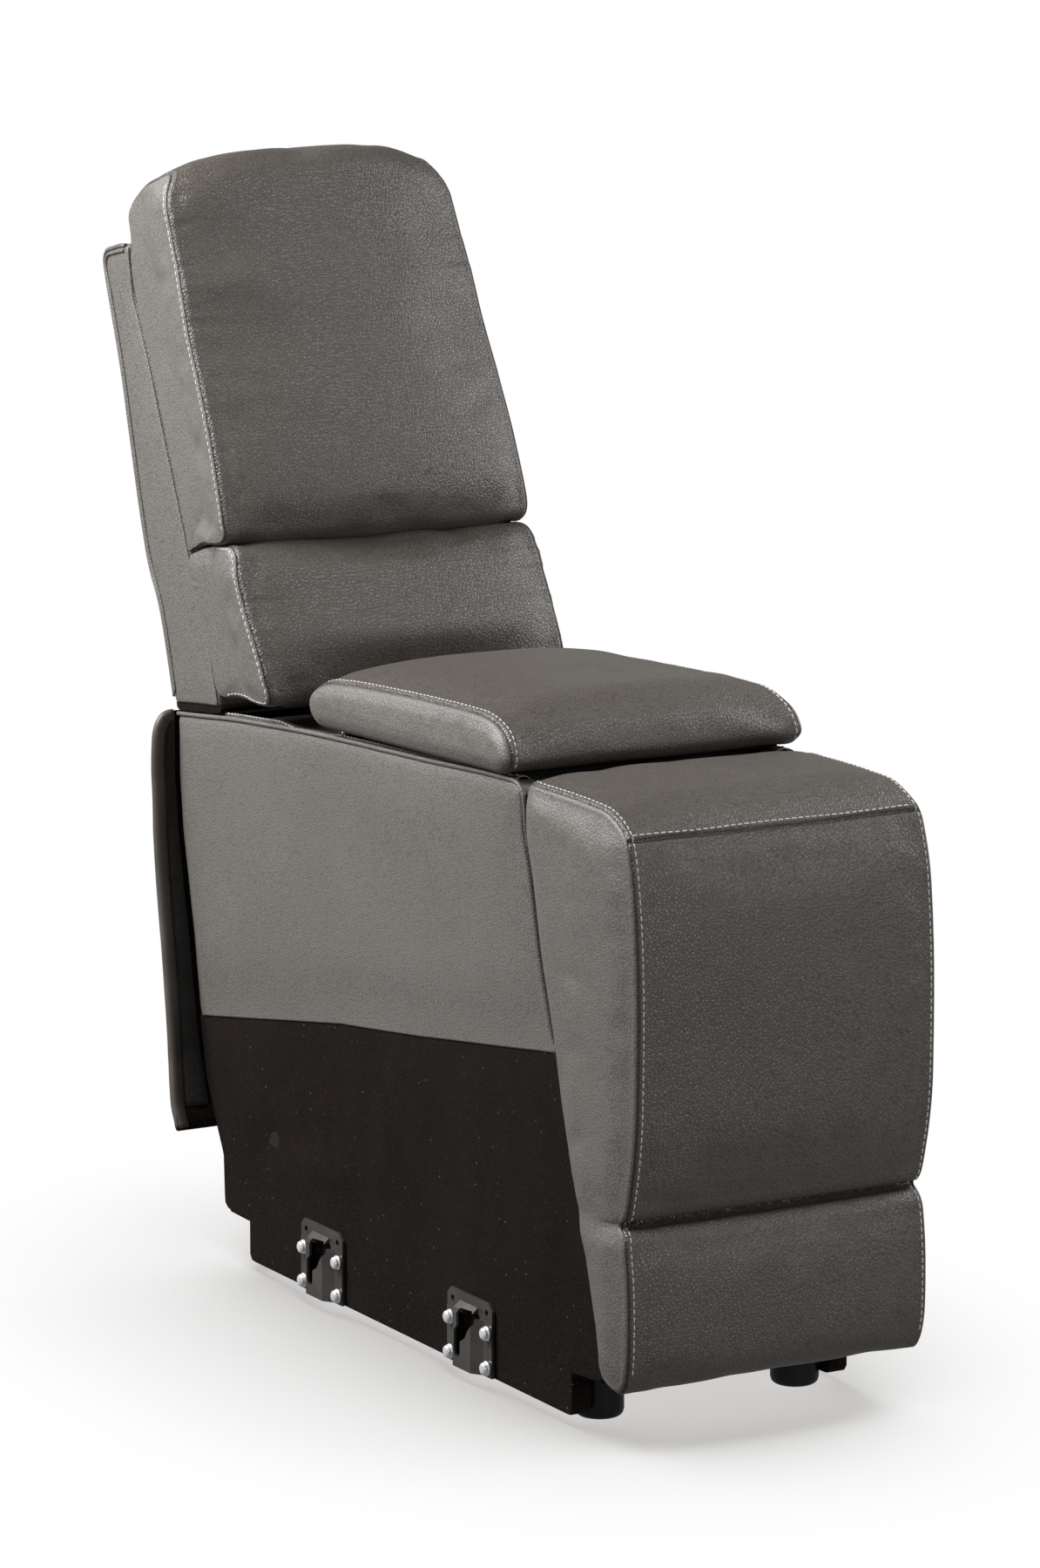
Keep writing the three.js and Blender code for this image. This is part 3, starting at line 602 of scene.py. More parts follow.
for n in ("keyhole_bracket_front", "keyhole_bracket_rear", "stud_plate_front", "stud_plate_rear",
          "receiver_left", "receiver_right", "lock_lever_left", "lock_lever_right"):
    o = frame["nodes"][n]
    v = o.modifiers.new("Bevel", "BEVEL")
    v.width, v.segments, v.limit_method, v.angle_limit = 0.0007, 2, "ANGLE", math.radians(25)


# ------------------------------------------------------------------ stuffed pieces
OFFS = [0, 1.1, 2.3, 3.6, 5.0, 7.0, 10, 14, 20, 28, 38, 49]
DEEP = [0, 1.1, 2.3, 3.6, 5.0, 7.0, 10, 14, 19, 25, 32]


def puckers(s, seed, period=8.0):
    """Irregular waves along a seam at arc length s, from -1 to 1."""
    a = nz(s / (0.75 * period), 0.3, seed=seed) * 1.5 + nz(s / (0.42 * period), 5.1, seed=seed + 9) * 0.8
    patch = 0.45 + 0.9 * max(0.0, nz(s / 46.0, 2.2, seed=seed + 4) + 0.25)
    return a * patch


class Stuffed:
    """A closed cushion: a side outline (y, z) swept across the width between two seams, with crowned
    panels between the seams and puffed gussets outside them."""

    def __init__(self, outline, half, spine, crown, step=4.2, sharp=(), puff=3.0, puff_reach=26.0,
                 seam_gap=2.3, ridge=1.1, ridge_on="side", pucker_amp=None, pucker_side=0.5, reach=16.0,
                 dent=1.0, seed=1, extra=None, mid_step=11.0, dense=None):
        q = ccw(loop(outline, step, sharp))
        for _ in range(2 if dense else 0):
            more = []
            for p0, p1 in zip(q, np.roll(q, -1, 0)):
                more.append(p0)
                if dense(*((p0 + p1) / 2)):
                    more.append((p0 + p1) / 2)
            q = np.array(more)
        self.q, self.half, self.seed = q, half, seed
        n = len(q)
        nrm = outward(q, 2)
        self.s = np.concatenate([[0], np.cumsum(np.linalg.norm(np.diff(q, axis=0), axis=1))])
        hw = np.array([half(z, y) for y, z in q])
        inner = int(round((2 * (hw.mean() - OFFS[-1])) / mid_step))
        left = list(OFFS)
        cols = [("L", d) for d in left] + [("M", k / inner) for k in range(1, inner)] + [("R", d) for d in reversed(left)]
        m = len(cols)
        V = np.zeros((n, m, 3))
        seam = np.zeros((n, m))
        amp = np.array([pucker_amp(y, z) if pucker_amp else 0.4 for y, z in q])
        wav = np.array([puckers(a, seed) for a in self.s])
        wav2 = np.array([puckers(a + 300, seed + 3, 12.0) for a in self.s])
        flatz = np.array([1.0] * n)
        for j, (kind, d) in enumerate(cols):
            if kind == "L":
                x = -(hw - d)
            elif kind == "R":
                x = hw - d
            else:
                x = -(hw - OFFS[-1]) * (1 - 2 * d)
            off = hw - np.abs(x)
            u = x / hw
            for i in range(n):
                y, z = q[i]
                c = crown(u[i], y, z, nrm[i])
                e = off[i]
                lip = -seam_gap * math.exp(-(e / 1.7) ** 2)
                if ridge_on == "panel":
                    lip += ridge * (math.exp(-((e - 2.6) / 1.5) ** 2) + 0.55 * math.exp(-((e - 7.6) / 2.2) ** 2))
                else:
                    lip += 0.6 * math.exp(-((e - 5.0) / 3.0) ** 2)
                wv = wav[i] if x[i] < 0 else wav2[i]
                pk = amp[i] * wv * math.exp(-e / (reach * (0.75 + 0.5 * abs(wv)))) * smooth(0.3, 5.0, e)
                dn = dent * (nz(x[i], y, z, scale=1 / 85.0, seed=seed + 20) * 1.5
                             + nz(x[i], y, z, scale=1 / 30.0, seed=seed + 40) * 0.5) * smooth(2, 30, e)
                h = lip + pk + dn
                V[i, j] = (x[i], y + c[0] + nrm[i, 0] * h, z + c[1] + nrm[i, 1] * h)
                # painted shade weight in the seam groove on the panel side, kept in the seam attribute
                seam[i, j] = math.exp(-(e / 1.7) ** 2)
        if extra is not None:
            extra(self, V, seam, cols, hw, nrm)
        self.V, self.seam, self.cols, self.nrm, self.hw = V, seam, cols, nrm, hw
        verts = [V.reshape(-1, 3)]
        sm = [seam.reshape(-1)]
        faces = grid_faces(n, m, True)
        fmat = [0] * len(faces)
        base = n * m
        a, b = spine
        foot = to_segment(q, a, b)
        dist = np.linalg.norm(q - foot, axis=1)
        rings = len(DEEP) + 5
        self.rings = {}
        for side, col in ((-1, 0), (1, m - 1)):
            prev = np.arange(n) * m + col
            ring_list = []
            for k in range(1, rings):
                if k < len(DEEP):
                    t = np.minimum(DEEP[k] / dist, k / (rings - 1.0))
                else:
                    t0 = np.minimum(DEEP[-1] / dist, (len(DEEP) - 1) / (rings - 1.0))
                    t = t0 + (1 - t0) * (k - len(DEEP) + 1) / (rings - len(DEEP))
                p = q + t[:, None] * (foot - q)
                e = t * dist
                x = np.zeros(n)
                for i in range(n):
                    y, z = p[i]
                    lip = -seam_gap * math.exp(-(e[i] / 1.7) ** 2)
                    if ridge_on == "side":
                        lip += ridge * (math.exp(-((e[i] - 2.5) / 1.5) ** 2) + 0.5 * math.exp(-((e[i] - 7.4) / 2.2) ** 2))
                    else:
                        lip += 0.5 * math.exp(-((e[i] - 4.0) / 2.5) ** 2)
                    rnd = puff * (1 - (1 - min(1.0, e[i] / puff_reach)) ** 2)
                    wv = wav[i] if side < 0 else wav2[i]
                    pk = pucker_side * amp[i] * wv * math.exp(-e[i] / (0.6 * reach)) * smooth(0.3, 4.0, e[i])
                    dn = 0.6 * dent * nz(side * 90, y, z, scale=1 / 60.0, seed=seed + 60) * smooth(3, 20, e[i])
                    x[i] = side * (half(z, y) + lip + rnd + pk + dn)
                verts.append(np.stack([x, p[:, 0], p[:, 1]], 1))
                # painted shade weight in the seam groove on the gusset side
                sm.append(np.exp(-(e / 1.5) ** 2))
                cur = base + np.arange(n)
                for i in range(n):
                    i2 = (i + 1) % n
                    faces.append((prev[i], prev[i2], cur[i2], cur[i]))
                    fmat.append(1)
                ring_list.append(verts[-1])
                prev = cur
                base += n
            self.rings[side] = ring_list
        self.verts, self.sm, self.faces, self.fmat = np.vstack(verts), np.concatenate(sm), faces, fmat

    def seam_line(self, side, where, off_mm, depth=None):
        """Points beside a seam: on the panel (off_mm from it) or on the gusset, along the part of the
        outline where where(y, z) holds, as one run."""
        n = len(self.q)
        ok = np.array([bool(where(y, z)) for y, z in self.q])
        if ok.all():
            start = 0
        else:
            start = next(i for i in range(n) if ok[i] and not ok[i - 1])
        out = []
        V = self.verts
        m = len(self.cols)
        for k in range(n):
            i = (start + k) % n
            if not ok[i]:
                break
            if depth is None:
                offs = [d for c, d in self.cols if c == "L"]
                j = np.interp(off_mm, offs, range(len(offs)))
                j0, f = int(j), j - int(j)
                if side < 0:
                    p = self.V[i, j0] * (1 - f) + self.V[i, j0 + 1] * f
                else:
                    p = self.V[i, m - 1 - j0] * (1 - f) + self.V[i, m - 2 - j0] * f
            else:
                j = np.interp(depth, DEEP, range(len(DEEP)))
                j0, f = int(j), j - int(j)
                rl = self.rings[side]
                a0 = rl[j0 - 1][i] if j0 >= 1 else self.V[i, 0 if side < 0 else m - 1]
                p = a0 * (1 - f) + rl[j0][i] * f
            out.append(p)
        return np.array(out)


def swell(c, frames=14, pressure=3.0, cap=5.0, pin=11.0, grow=-0.012, still=None):
    """Cloth simulation of a coarse copy of the cushion, pinned at its seams; what moved is carried back
    to the fine mesh."""
    me = bpy.data.meshes.new("sim")
    me.from_pydata([tuple(p) for p in to_m(c.verts)], [], [tuple(int(i) for i in f) for f in c.faces])
    bm = bmesh.new()
    bm.from_mesh(me)
    bmesh.ops.remove_doubles(bm, verts=bm.verts, dist=0.00005)
    bmesh.ops.recalc_face_normals(bm, faces=bm.faces)
    bm.to_mesh(me)
    bm.free()
    o = bpy.data.objects.new("sim", me)
    scene.collection.objects.link(o)
    r = o.modifiers.new("Remesh", "REMESH")
    r.mode, r.voxel_size = "VOXEL", 0.0060
    dg = bpy.context.evaluated_depsgraph_get()
    fine = bpy.data.meshes.new_from_object(o.evaluated_get(dg))
    o.modifiers.clear()
    o.data = fine
    n = len(fine.vertices)
    rest = np.zeros(n * 3, np.float32)
    fine.vertices.foreach_get("co", rest)
    rest = rest.reshape(-1, 3).copy()
    seams = to_m(np.vstack([c.V[:, 0], c.V[:, -1]]))
    kd = KDTree(len(seams))
    for i, p in enumerate(seams):
        kd.insert(p, i)
    kd.balance()
    g = o.vertex_groups.new(name="pin")
    for i, p in enumerate(rest):
        d = kd.find(p)[2] * 1000
        w = 1.0 if d < 5.0 else max(0.0, 1 - (d - 5.0) / pin)
        y, z = p[1] * 1000 - SHIFT_Y, p[2] * 1000
        if still is not None:
            w = max(w, still(p[0] * 1000, y, z))
        if w > 0:
            g.add([i], float(w), "REPLACE")
    mod = o.modifiers.new("Cloth", "CLOTH")
    st = mod.settings
    st.quality = 4
    st.mass = 0.4
    st.tension_stiffness = st.compression_stiffness = 25
    st.shear_stiffness = 10
    st.bending_stiffness = 2.0
    st.use_pressure = True
    st.uniform_pressure_force = pressure
    st.effector_weights.gravity = 0.0
    st.vertex_group_mass = "pin"
    st.pin_stiffness = 1.0
    st.shrink_min = grow
    mod.collision_settings.use_collision = False
    mod.point_cache.frame_start, mod.point_cache.frame_end = 1, frames
    for f in range(1, frames + 1):
        scene.frame_set(f)
    dg = bpy.context.evaluated_depsgraph_get()
    e = o.evaluated_get(dg).to_mesh()
    after = np.zeros(n * 3, np.float32)
    e.vertices.foreach_get("co", after)
    after = after.reshape(-1, 3)
    d = (after - rest) * 1000.0
    size = np.linalg.norm(d, axis=1, keepdims=True)
    d = d * np.minimum(1.0, cap / np.maximum(size, 1e-6))
    kd = KDTree(n)
    for i, p in enumerate(rest):
        kd.insert(p, i)
    kd.balance()
    moved = np.zeros_like(c.verts)
    for i, p in enumerate(to_m(c.verts)):
        near = kd.find_n(p, 14)
        w = np.array([math.exp(-(x[2] / 0.0085) ** 2) + 1e-6 for x in near])
        moved[i] = (w[:, None] * d[[x[1] for x in near]]).sum(0) / w.sum()
    c.verts = c.verts + moved
    print(f"swell: {n} points, moved up to {size.max():.1f} mm, mean {size.mean():.2f} mm")
    bpy.data.objects.remove(o)
    scene.frame_set(1)


def finish_stuffed(name, c, mats, body, node, subdiv=1):
    o = add_object(name, c.verts, c.faces, mats, c.fmat, attrs={"seam": c.sm}, subdiv=subdiv, merge=0.05)
    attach(o, body)
    if node:
        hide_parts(node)
    return o


PANEL = [M["leather_panel"], M["leather_side"]]

# ---- head cushion
HEAD = [[650, 713.5], [632, 715], [613, 719], [605, 727], [606.5, 740], [627, 797], [655, 856], [685, 912], [704, 957],
        [723, 995], [733, 1016], [743, 1036], [750, 1048], [758, 1059], [766, 1061], [780, 1055], [807, 1045], [822, 1037],
        [835, 1026], [842, 1015], [839, 1002], [837, 988], [835, 958], [819, 914], [796, 871], [760, 792], [722, 706],
        [719, 696], [703, 701], [675, 709]]
head_half = table([727, 166.5], [740, 168], [794, 166.5], [850, 164.5], [906, 163], [951, 161], [989, 159], [1030, 157.5],
                  [1042, 154], [1052, 148], [1062, 141])
head_front = table([719, 634], [734, 609], [746, 610], [800, 628], [856, 655], [912, 685], [957, 704], [995, 723],
                   [1036, 743], [1061, 766])


def tapered(half, front, depth, rear):
    def f(z, y):
        k = min(1.0, max(0.0, (y - front(z) - 8) / depth))
        h = float(half(z))
        return h + (min(h, rear) - h) * k
    return f


def head_crown(u, y, z, n):
    c = 1 - abs(u) ** 2.3
    f = max(0.0, 1 - max(0.0, y - head_front(z)) / 40)
    mid = math.sin(math.pi * min(1.0, max(0.0, (z - 700) / 380))) if z > 890 else 1.0
    low = min(1.0, max(0.0, (z - 717) / 66))
    mid *= 1 - (1 - low) ** 2
    top = min(1.0, (z - 1000) / 45) if z > 1000 else 0.0
    return (-25.5 * c * f * math.sqrt(mid), 20.5 * (1 - abs(u) ** 3.6) * top)


head = Stuffed(HEAD, tapered(head_half, head_front, 60, 149.0), ((676, 768), (786, 990)), head_crown,
               puff=2.5, puff_reach=30, ridge_on="side", seed=3, reach=22.0, dent=0.8, step=3.3,
               pucker_amp=lambda y, z: (0.5 + 1.25 * float(smooth(900, 955, z))) * float(1 - smooth(1018, 1046, z)))
swell(head, pressure=3.0, cap=4.0, still=lambda x, y, z: float(smooth(10, 30, y - head_front(z) - 60)))
tube("back_joint_strip", np.stack([np.linspace(-143, 143, 60), np.full(60, 716.5), np.full(60, 691.0)], 1), 4.0,
     [M["nonwoven"]], "back", sides=10, up=(0, 0, 1))
head_o = finish_stuffed("head_cushion_cover", head, PANEL, "back", "head_cushion")
for side, tag in ((-1, "left"), (1, "right")):
    stitches(f"head_stitch_{tag}", head.seam_line(side, lambda y, z: (y < head_front(z) + 6 and 722 < z < 1056), None, 4.8),
             head_o, "back", seed=3)

# ---- lumbar cushion
LUMBAR = [[614, 716.5], [600, 717], [590, 711], [583, 697], [569, 669], [552, 641], [539, 619], [529, 598], [524, 581],
          [528, 573], [540, 571], [564, 569], [590, 569], [615, 568], [639, 564], [652, 568], [662, 591], [680, 628],
          [700, 664], [711, 685], [707, 695], [689, 702], [659, 710.5], [634, 715.5]]
lumbar_front = table([570, 530], [581, 524], [598, 529], [619, 539], [641, 552], [669, 570], [699, 587], [715, 604])
lumbar_half = table([565, 160], [600, 164.5], [650, 166.5], [690, 166.5], [715, 162])


def lumbar_crown(u, y, z, n):
    c = 1 - abs(u) ** 2.3
    f = max(0.0, 1 - max(0.0, y - lumbar_front(z)) / 40)
    mid = math.sin(math.pi * min(1.0, max(0.0, (z - 560) / 165)))
    return (-23.5 * c * f * math.sqrt(mid) * float(smooth(588, 640, z)), 0)


lumbar = Stuffed(LUMBAR, tapered(lumbar_half, lumbar_front, 60, 153.0), ((588, 612), (648, 672)), lumbar_crown,
                 puff=5.0, puff_reach=28, ridge_on="side", seed=11, reach=22.0, dent=0.9, step=3.3,
                 pucker_amp=lambda y, z: 0.75 + 1.0 * float(smooth(600, 645, z)), pucker_side=0.8)
swell(lumbar, pressure=3.0, cap=4.0, still=lambda x, y, z: float(smooth(10, 30, y - lumbar_front(z) - 60)))
lumbar_o = finish_stuffed("lumbar_cushion_cover", lumbar, PANEL, "back", "lumbar_cushion")
for side, tag in ((-1, "left"), (1, "right")):
    stitches(f"lumbar_stitch_{tag}",
             lumbar.seam_line(side, lambda y, z: (y < lumbar_front(z) + 14 and z > 572) or (z > 700 and y < 640) or (z < 576 and y < 636),
                              None, 4.8), lumbar_o, "back", seed=12)

# ---- lid cushion
LID = [[452, 600], [440, 606], [427, 610], [394, 614], [330, 618], [266, 621], [204, 623], [158, 624], [128, 623],
       [107, 618], [92, 610], [83, 598], [81, 588], [89, 580], [104, 575.2], [180, 573.0], [270, 570.4], [360, 567.8], [444, 565.4],
       [454, 571.5], [460, 581], [459.5, 590.5]]


def lid_half(z, y):
    return float(np.interp(z, [565, 576, 590, 602, 616, 640], [150.0, 151.5, 152.5, 151.5, 149.5, 149.0]))


def lid_crown(u, y, z, n):
    up = max(0.0, n[1])
    k = float(smooth(85, 150, y)) * float(1 - 0.55 * smooth(420, 456, y))
    dz = 13.0 * (1 - abs(u) ** 3.2) * up * (0.25 + 0.75 * k) if z > 590 else 0.0
    dy = -4.0 * (1 - u * u) if (575 < z < 614 and y < 104) else 0.0
    return (dy, dz)


def lid_under(c, V, seam, cols, hw, nrm):
    """The underside sits a little inside the board and its liner."""
    for i, (y, z) in enumerate(c.q):
        if nrm[i, 1] < -0.8 and 100 < y < 450:
            for j in range(len(cols)):
                x = V[i, j, 0]
                V[i, j, 2] += 2.6 * float(1 - smooth(128, 139, abs(x))) * float(smooth(98, 108, y)) * float(1 - smooth(440, 450, y))


lid = Stuffed(LID, lid_half, ((118, 597), (425, 589)), lid_crown, sharp=(14, 18), puff=6.5, puff_reach=15, ridge_on="panel",
              seed=21, reach=9.0, dent=0.7, pucker_amp=lambda y, z: 0.16, extra=lid_under, step=4.0)
swell(lid, pressure=2.5, cap=2.5, still=lambda x, y, z: 1.0 if z < 580 else 0.0)
lid_o = finish_stuffed("lid_cushion_cover", lid, PANEL, "lid", "lid_cushion")
for side, tag in ((-1, "left"), (1, "right")):
    stitches(f"lid_stitch_{tag}", lid.seam_line(side, lambda y, z: (z > 606) or (y < 100 and z > 578), 5.0), lid_o, "lid", seed=22)

# ---- front pad
PAD = [[62, 570.5], [55, 573.5], [27, 574], [-14, 574], [-52, 573], [-80, 571], [-98, 565], [-111, 558], [-119, 550],
       [-127.5, 527], [-134, 496], [-140, 429], [-141, 348], [-139, 293], [-131.5, 248], [-121.5, 216],
       [-112.5, 208.5], [-121, 199], [-127, 172], [-130, 132], [-128, 82], [-121, 62], [-112, 56],
       [-73, 62], [-63, 110], [-46, 167], [-25, 219], [-3, 292], [13, 355], [35, 423], [51, 490], [64, 529], [66.3, 563]]
pad_half_t = table([56, 155.0], [90, 156.0], [190, 156.0], [208, 153.0], [222, 154.0], [300, 154.5], [500, 153.5], [545, 152.0], [566, 149.5], [580, 149.0])


pad_rear = table([62, -73], [110, -63], [167, -46], [219, -25], [292, -3], [355, 13], [423, 35], [490, 51], [529, 64], [562, 66])


def pad_half(z, y):
    near = min(1.0, max(0.0, (float(pad_rear(z)) - y) / 27.0))
    return float(pad_half_t(z)) - 11.0 * (1 - math.sqrt(max(0.0, 1 - (1 - near) ** 2)))


def pad_crown(u, y, z, n):
    c = 1 - u * u
    dy, dz = 0.0, 0.0
    if y < -95 or z < 212:
        k = float(smooth(560, 530, z)) if z > 530 else 1.0
        k *= 0.35 + 0.65 * float(smooth(4, 40, abs(z - 208)))
        k *= max(0.0, -n[0]) ** 0.5 if n[0] < 0 else 0.0
        dy = -8.5 * c * k
    if z > 545 and n[1] > 0.2:
        dz = 7.0 * (1 - abs(u) ** 5) * n[1] * (1.0 - 0.25 * float(smooth(30, 62, y)))
    return (dy, dz)


def pad_details(c, V, seam, cols, hw, nrm):
    """The sewn line across the front under the top edge, and the fold above the lower roll, both with painted shade in
    their grooves.
    """
    for i, (y, z) in enumerate(c.q):
        if y > -60:
            continue
        for j in range(len(cols)):
            x = V[i, j, 0]
            sag = 3.0 * (1 - (x / 152.0) ** 2)
            d = z - (550.4 - sag)
            if abs(d) < 26:
                h = -2.0 * math.exp(-(d / 1.5) ** 2) + 0.9 * math.exp(-((d - 3.4) / 1.9) ** 2) + 0.35 * math.exp(-((d + 5.0) / 4.0) ** 2)
                h *= 1.0 + 0.25 * nz(x, 0, 0, scale=1 / 30.0, seed=5)
                V[i, j] += np.array([0, nrm[i, 0] * h, nrm[i, 1] * h])
                # painted shade in the groove of the sewn line
                seam[i, j] = max(seam[i, j], 0.8 * math.exp(-(d / 1.4) ** 2))
            d = z - 208.5
            if abs(d) < 26:
                w = 1.0 + 0.3 * nz(x, 3, 0, scale=1 / 40.0, seed=8)
                h = -9.0 * w * math.exp(-(d / 2.9) ** 2) + 1.8 * math.exp(-((d - 11) / 8.0) ** 2) + 1.6 * math.exp(-((d + 13) / 8.0) ** 2)
                k = 0.35 + 0.65 * float(smooth(0, 22, hw[i] - abs(x)))
                V[i, j] += np.array([0, nrm[i, 0] * h * k, nrm[i, 1] * h * k])
                # painted shade in the fold crease
                seam[i, j] = max(seam[i, j], 0.85 * math.exp(-(d / 2.0) ** 2))


pad = Stuffed(PAD, pad_half, ((-95, 95), (-30, 505)), pad_crown, sharp=(23, 32), puff=6.0, puff_reach=42, ridge_on="panel",
              seed=31, reach=10.0, dent=0.7, seam_gap=1.7, pucker_amp=lambda y, z: 0.22, extra=pad_details, step=3.6,
              dense=lambda y, z: y < -60 and (545 < z < 559 or 202 < z < 215))
swell(pad, pressure=2.5, cap=2.5, pin=14.0,
      still=lambda x, y, z: max(float(smooth(540, 560, z) if z < 575 and y < -60 else 0), float(1 - smooth(8, 22, abs(z - 208))),
                                float(smooth(-40, -10, y)) if z < 540 else 0.0))
for i, (x, y, z) in enumerate(pad.verts):
    # the hidden joint behind the pad holds no light
    back = float(pad_rear(z)) - y
    pad.sm[i] = max(pad.sm[i], float(1 - smooth(3.0, 9.0, back)) * float(1 - smooth(560, 566, z)) * float(smooth(1.5, 6.0, pad_half_t(z) + 4.0 - abs(x))))
joint = [(float(pad_rear(z)) + 1.5, z) for z in np.linspace(66, 564, 110)]
for side, tag in ((-1, "left"), (1, "right")):
    tube(f"pad_joint_strip_{tag}", [(side * 136.0, y, z) for y, z in joint], 2.3, [M["nonwoven"]], "base", sides=8)
pad_o = finish_stuffed("front_pad_cover", pad, PANEL, "base", "front_pad")
for side, tag in ((-1, "left"), (1, "right")):
    stitches(f"pad_stitch_{tag}", pad.seam_line(side, lambda y, z: (z > 560 and y < 56) or (y < -90 and z > 66), 5.0), pad_o, "base", seed=32)
cross = []
for x in np.linspace(-147, 147, 90):
    sag = 3.0 * (1 - (x / 152.0) ** 2)
    cross.append((x, -118.0, 556.6 - sag))
stitches("pad_stitch_cross", cross, pad_o, "base", seed=35)

# ---- back shell: leather over board, with a double welt round its rear edges
SHELL = [[753, 541.5], [783, 632], [806, 672], [822, 716], [845, 796], [864, 863], [895, 950],
         [899, 968], [894, 976], [880, 980], [862, 984], [846, 985], [840, 955], [836, 934], [825, 913], [813, 891],
         [802, 870], [766, 791], [726, 705], [721, 692], [700, 652], [683, 615], [666, 568], [661, 551]]


def shell_crown(u, y, z, n):
    back = max(0.0, n[0]) * float(smooth(545, 620, z))
    return (3.0 * (1 - u * u) * back, 1.5 * (1 - u * u) * max(0.0, n[1]) * (1 if z > 900 else 0))


shell = Stuffed(SHELL, lambda z, y: 147.6, ((712, 590), (862, 940)), shell_crown, sharp=(0, 11, 23), puff=1.8, puff_reach=30,
                ridge_on="side", seed=41, reach=8.0, dent=0.8, pucker_amp=lambda y, z: 0.10, step=6.0, mid_step=22.0, ridge=0.2)
shell_o = finish_stuffed("back_shell_cover", shell, [M["leather_side"], M["leather_side"]], "back", "back_shell")
for side, tag in ((-1, "left"), (1, "right")):
    edge = shell.seam_line(side, lambda y, z: (y > np.interp(z, [545, 716, 950, 990], [720, 790, 870, 845])) and z > 546, None, 1.2)
    edge = even(edge, 4.0)
    edge[:, 0] += side * 1.0
    tube(f"shell_welt_outer_{tag}", edge, 2.3, [M["leather_side"]], "back", sides=10)
    edge2 = shell.seam_line(side, lambda y, z: (y > np.interp(z, [545, 716, 950, 990], [720, 790, 870, 845])) and z > 546, None, 6.6)
    edge2 = even(edge2, 4.0)
    edge2[:, 0] += side * 0.2
    tube(f"shell_welt_inner_{tag}", edge2, 1.9, [M["leather_side"]], "back", sides=10)


# ------------------------------------------------------------------ covered sides
def inside(poly, pts):
    x, y = pts[:, 0], pts[:, 1]
    ok = np.zeros(len(pts), bool)
    n = len(poly)
    for i in range(n):
        x1, y1 = poly[i]
        x2, y2 = poly[(i + 1) % n]
        cross_ = ((y1 > y) != (y2 > y)) & (x < (x2 - x1) * (y - y1) / ((y2 - y1) if y2 != y1 else 1e-9) + x1)
        ok ^= cross_
    return ok


def edge_distance(poly, pts):
    best = np.full(len(pts), 1e9)
    n = len(poly)
    for i in range(n):
        a, b = poly[i], poly[(i + 1) % n]
        d = b - a
        t = np.clip(((pts - a) @ d) / max(d @ d, 1e-9), 0, 1)
        best = np.minimum(best, np.linalg.norm(pts - a - t[:, None] * d, axis=1))
    return best


def flat_cover(name, poly, step, side, x_of, wrap, wrap_mm, mats, thickness, body="base", wrap_out=0.0, shade=None):
    """A sheet over one side: the region inside poly (y, z), x_of(y, z, edge) outwards, turned in by wrap_mm
    round the edges where wrap(y, z) holds. Returns the object and its flat area in square metres."""
    poly = ccw(np.array(poly, float))
    bound = even(poly, step * 0.75, True)
    n = len(bound)
    inset = []
    nrm = outward(bound, 1)
    for d in (1.5, 3.2, 5.2, 7.6, 10.0):
        q = bound - nrm * d
        keep = inside(poly, q) & (edge_distance(poly, q) > d * 0.9)
        inset.append(q[keep][:: (1 if d < 9 else 2)])
    lo, hi = poly.min(0), poly.max(0)
    gx, gy = np.meshgrid(np.arange(lo[0], hi[0], step), np.arange(lo[1], hi[1], step), indexing="ij")
    grid = np.stack([gx.ravel() + 0.37 * step * (np.arange(gx.size) % 2 == 0), gy.ravel()], 1)
    keep = inside(poly, grid)
    grid = grid[keep]
    grid = grid[edge_distance(poly, grid) > 13.5]
    pts = np.vstack([bound] + inset + [grid])
    edges = [(i, (i + 1) % n) for i in range(n)]
    out = delaunay_2d_cdt([Vector(p) for p in pts], edges, [], 1, 1e-5)
    co = np.array([[p.x, p.y] for p in out[0]])
    faces = [tuple(f) for f in out[2]]
    e = edge_distance(poly, co)
    x = np.array([side * x_of(p[0], p[1], d) for p, d in zip(co, e)])
    V = np.stack([x, co[:, 0], co[:, 1]], 1)
    # wraps
    orig = {}
    for new, olds in enumerate(out[3]):
        for k in olds:
            orig[k] = new
    seq = [orig[i] for i in range(n)]
    flag = [bool(wrap(*co[k])) for k in seq]
    rows, vs = {}, [V]
    # painted shade from the shade function, kept in the seam attribute
    dark = [float(shade(p[0], p[1], d, 0.0)) if shade else 0.0 for p, d in zip(co, e)]
    cnt = len(V)
    levels = [0.35, 1.0, 0.5 * wrap_mm, wrap_mm]
    for k, i in enumerate(seq):
        if not flag[k]:
            continue
        ids = [i]
        y, z = co[i]
        out_n = nrm[k]
        for l, d in enumerate(levels):
            push = wrap_out * min(1.0, d / 1.0)
            vs.append(np.array([[V[i, 0] - side * d, y + out_n[0] * push, z + out_n[1] * push]]))
            ids.append(cnt)
            dark.append(float(shade(y, z, 0.0, d)) if shade else 0.0)
            cnt += 1
        rows[k] = ids
    wf = []
    for k in range(n):
        l = (k + 1) % n
        if k in rows and l in rows:
            for a in range(len(levels)):
                wf.append((rows[k][a], rows[l][a], rows[l][a + 1], rows[k][a + 1]))
    V = np.vstack(vs)
    o = add_object(name, V, faces + wf, mats, attrs={"seam": dark}, merge=0)
    # outward orientation
    me = o.data
    test = sum(p.normal.x * p.area for p in me.polygons if abs(p.normal.x) > 0.7) * side
    if test < 0:
        me.flip_normals()
    s = o.modifiers.new("Thickness", "SOLIDIFY")
    s.thickness, s.offset = thickness / 1000.0, -1.0
    area = 0.5 * abs(np.sum(poly[:, 0] * np.roll(poly[:, 1], -1) - np.roll(poly[:, 0], -1) * poly[:, 1]))
    run = sum(np.linalg.norm(bound[(k + 1) % n] - bound[k]) for k in range(n) if k in rows and (k + 1) % n in rows)
    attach(o, body)
    return o, (area + run * wrap_mm) / 1e6, (hi - lo)


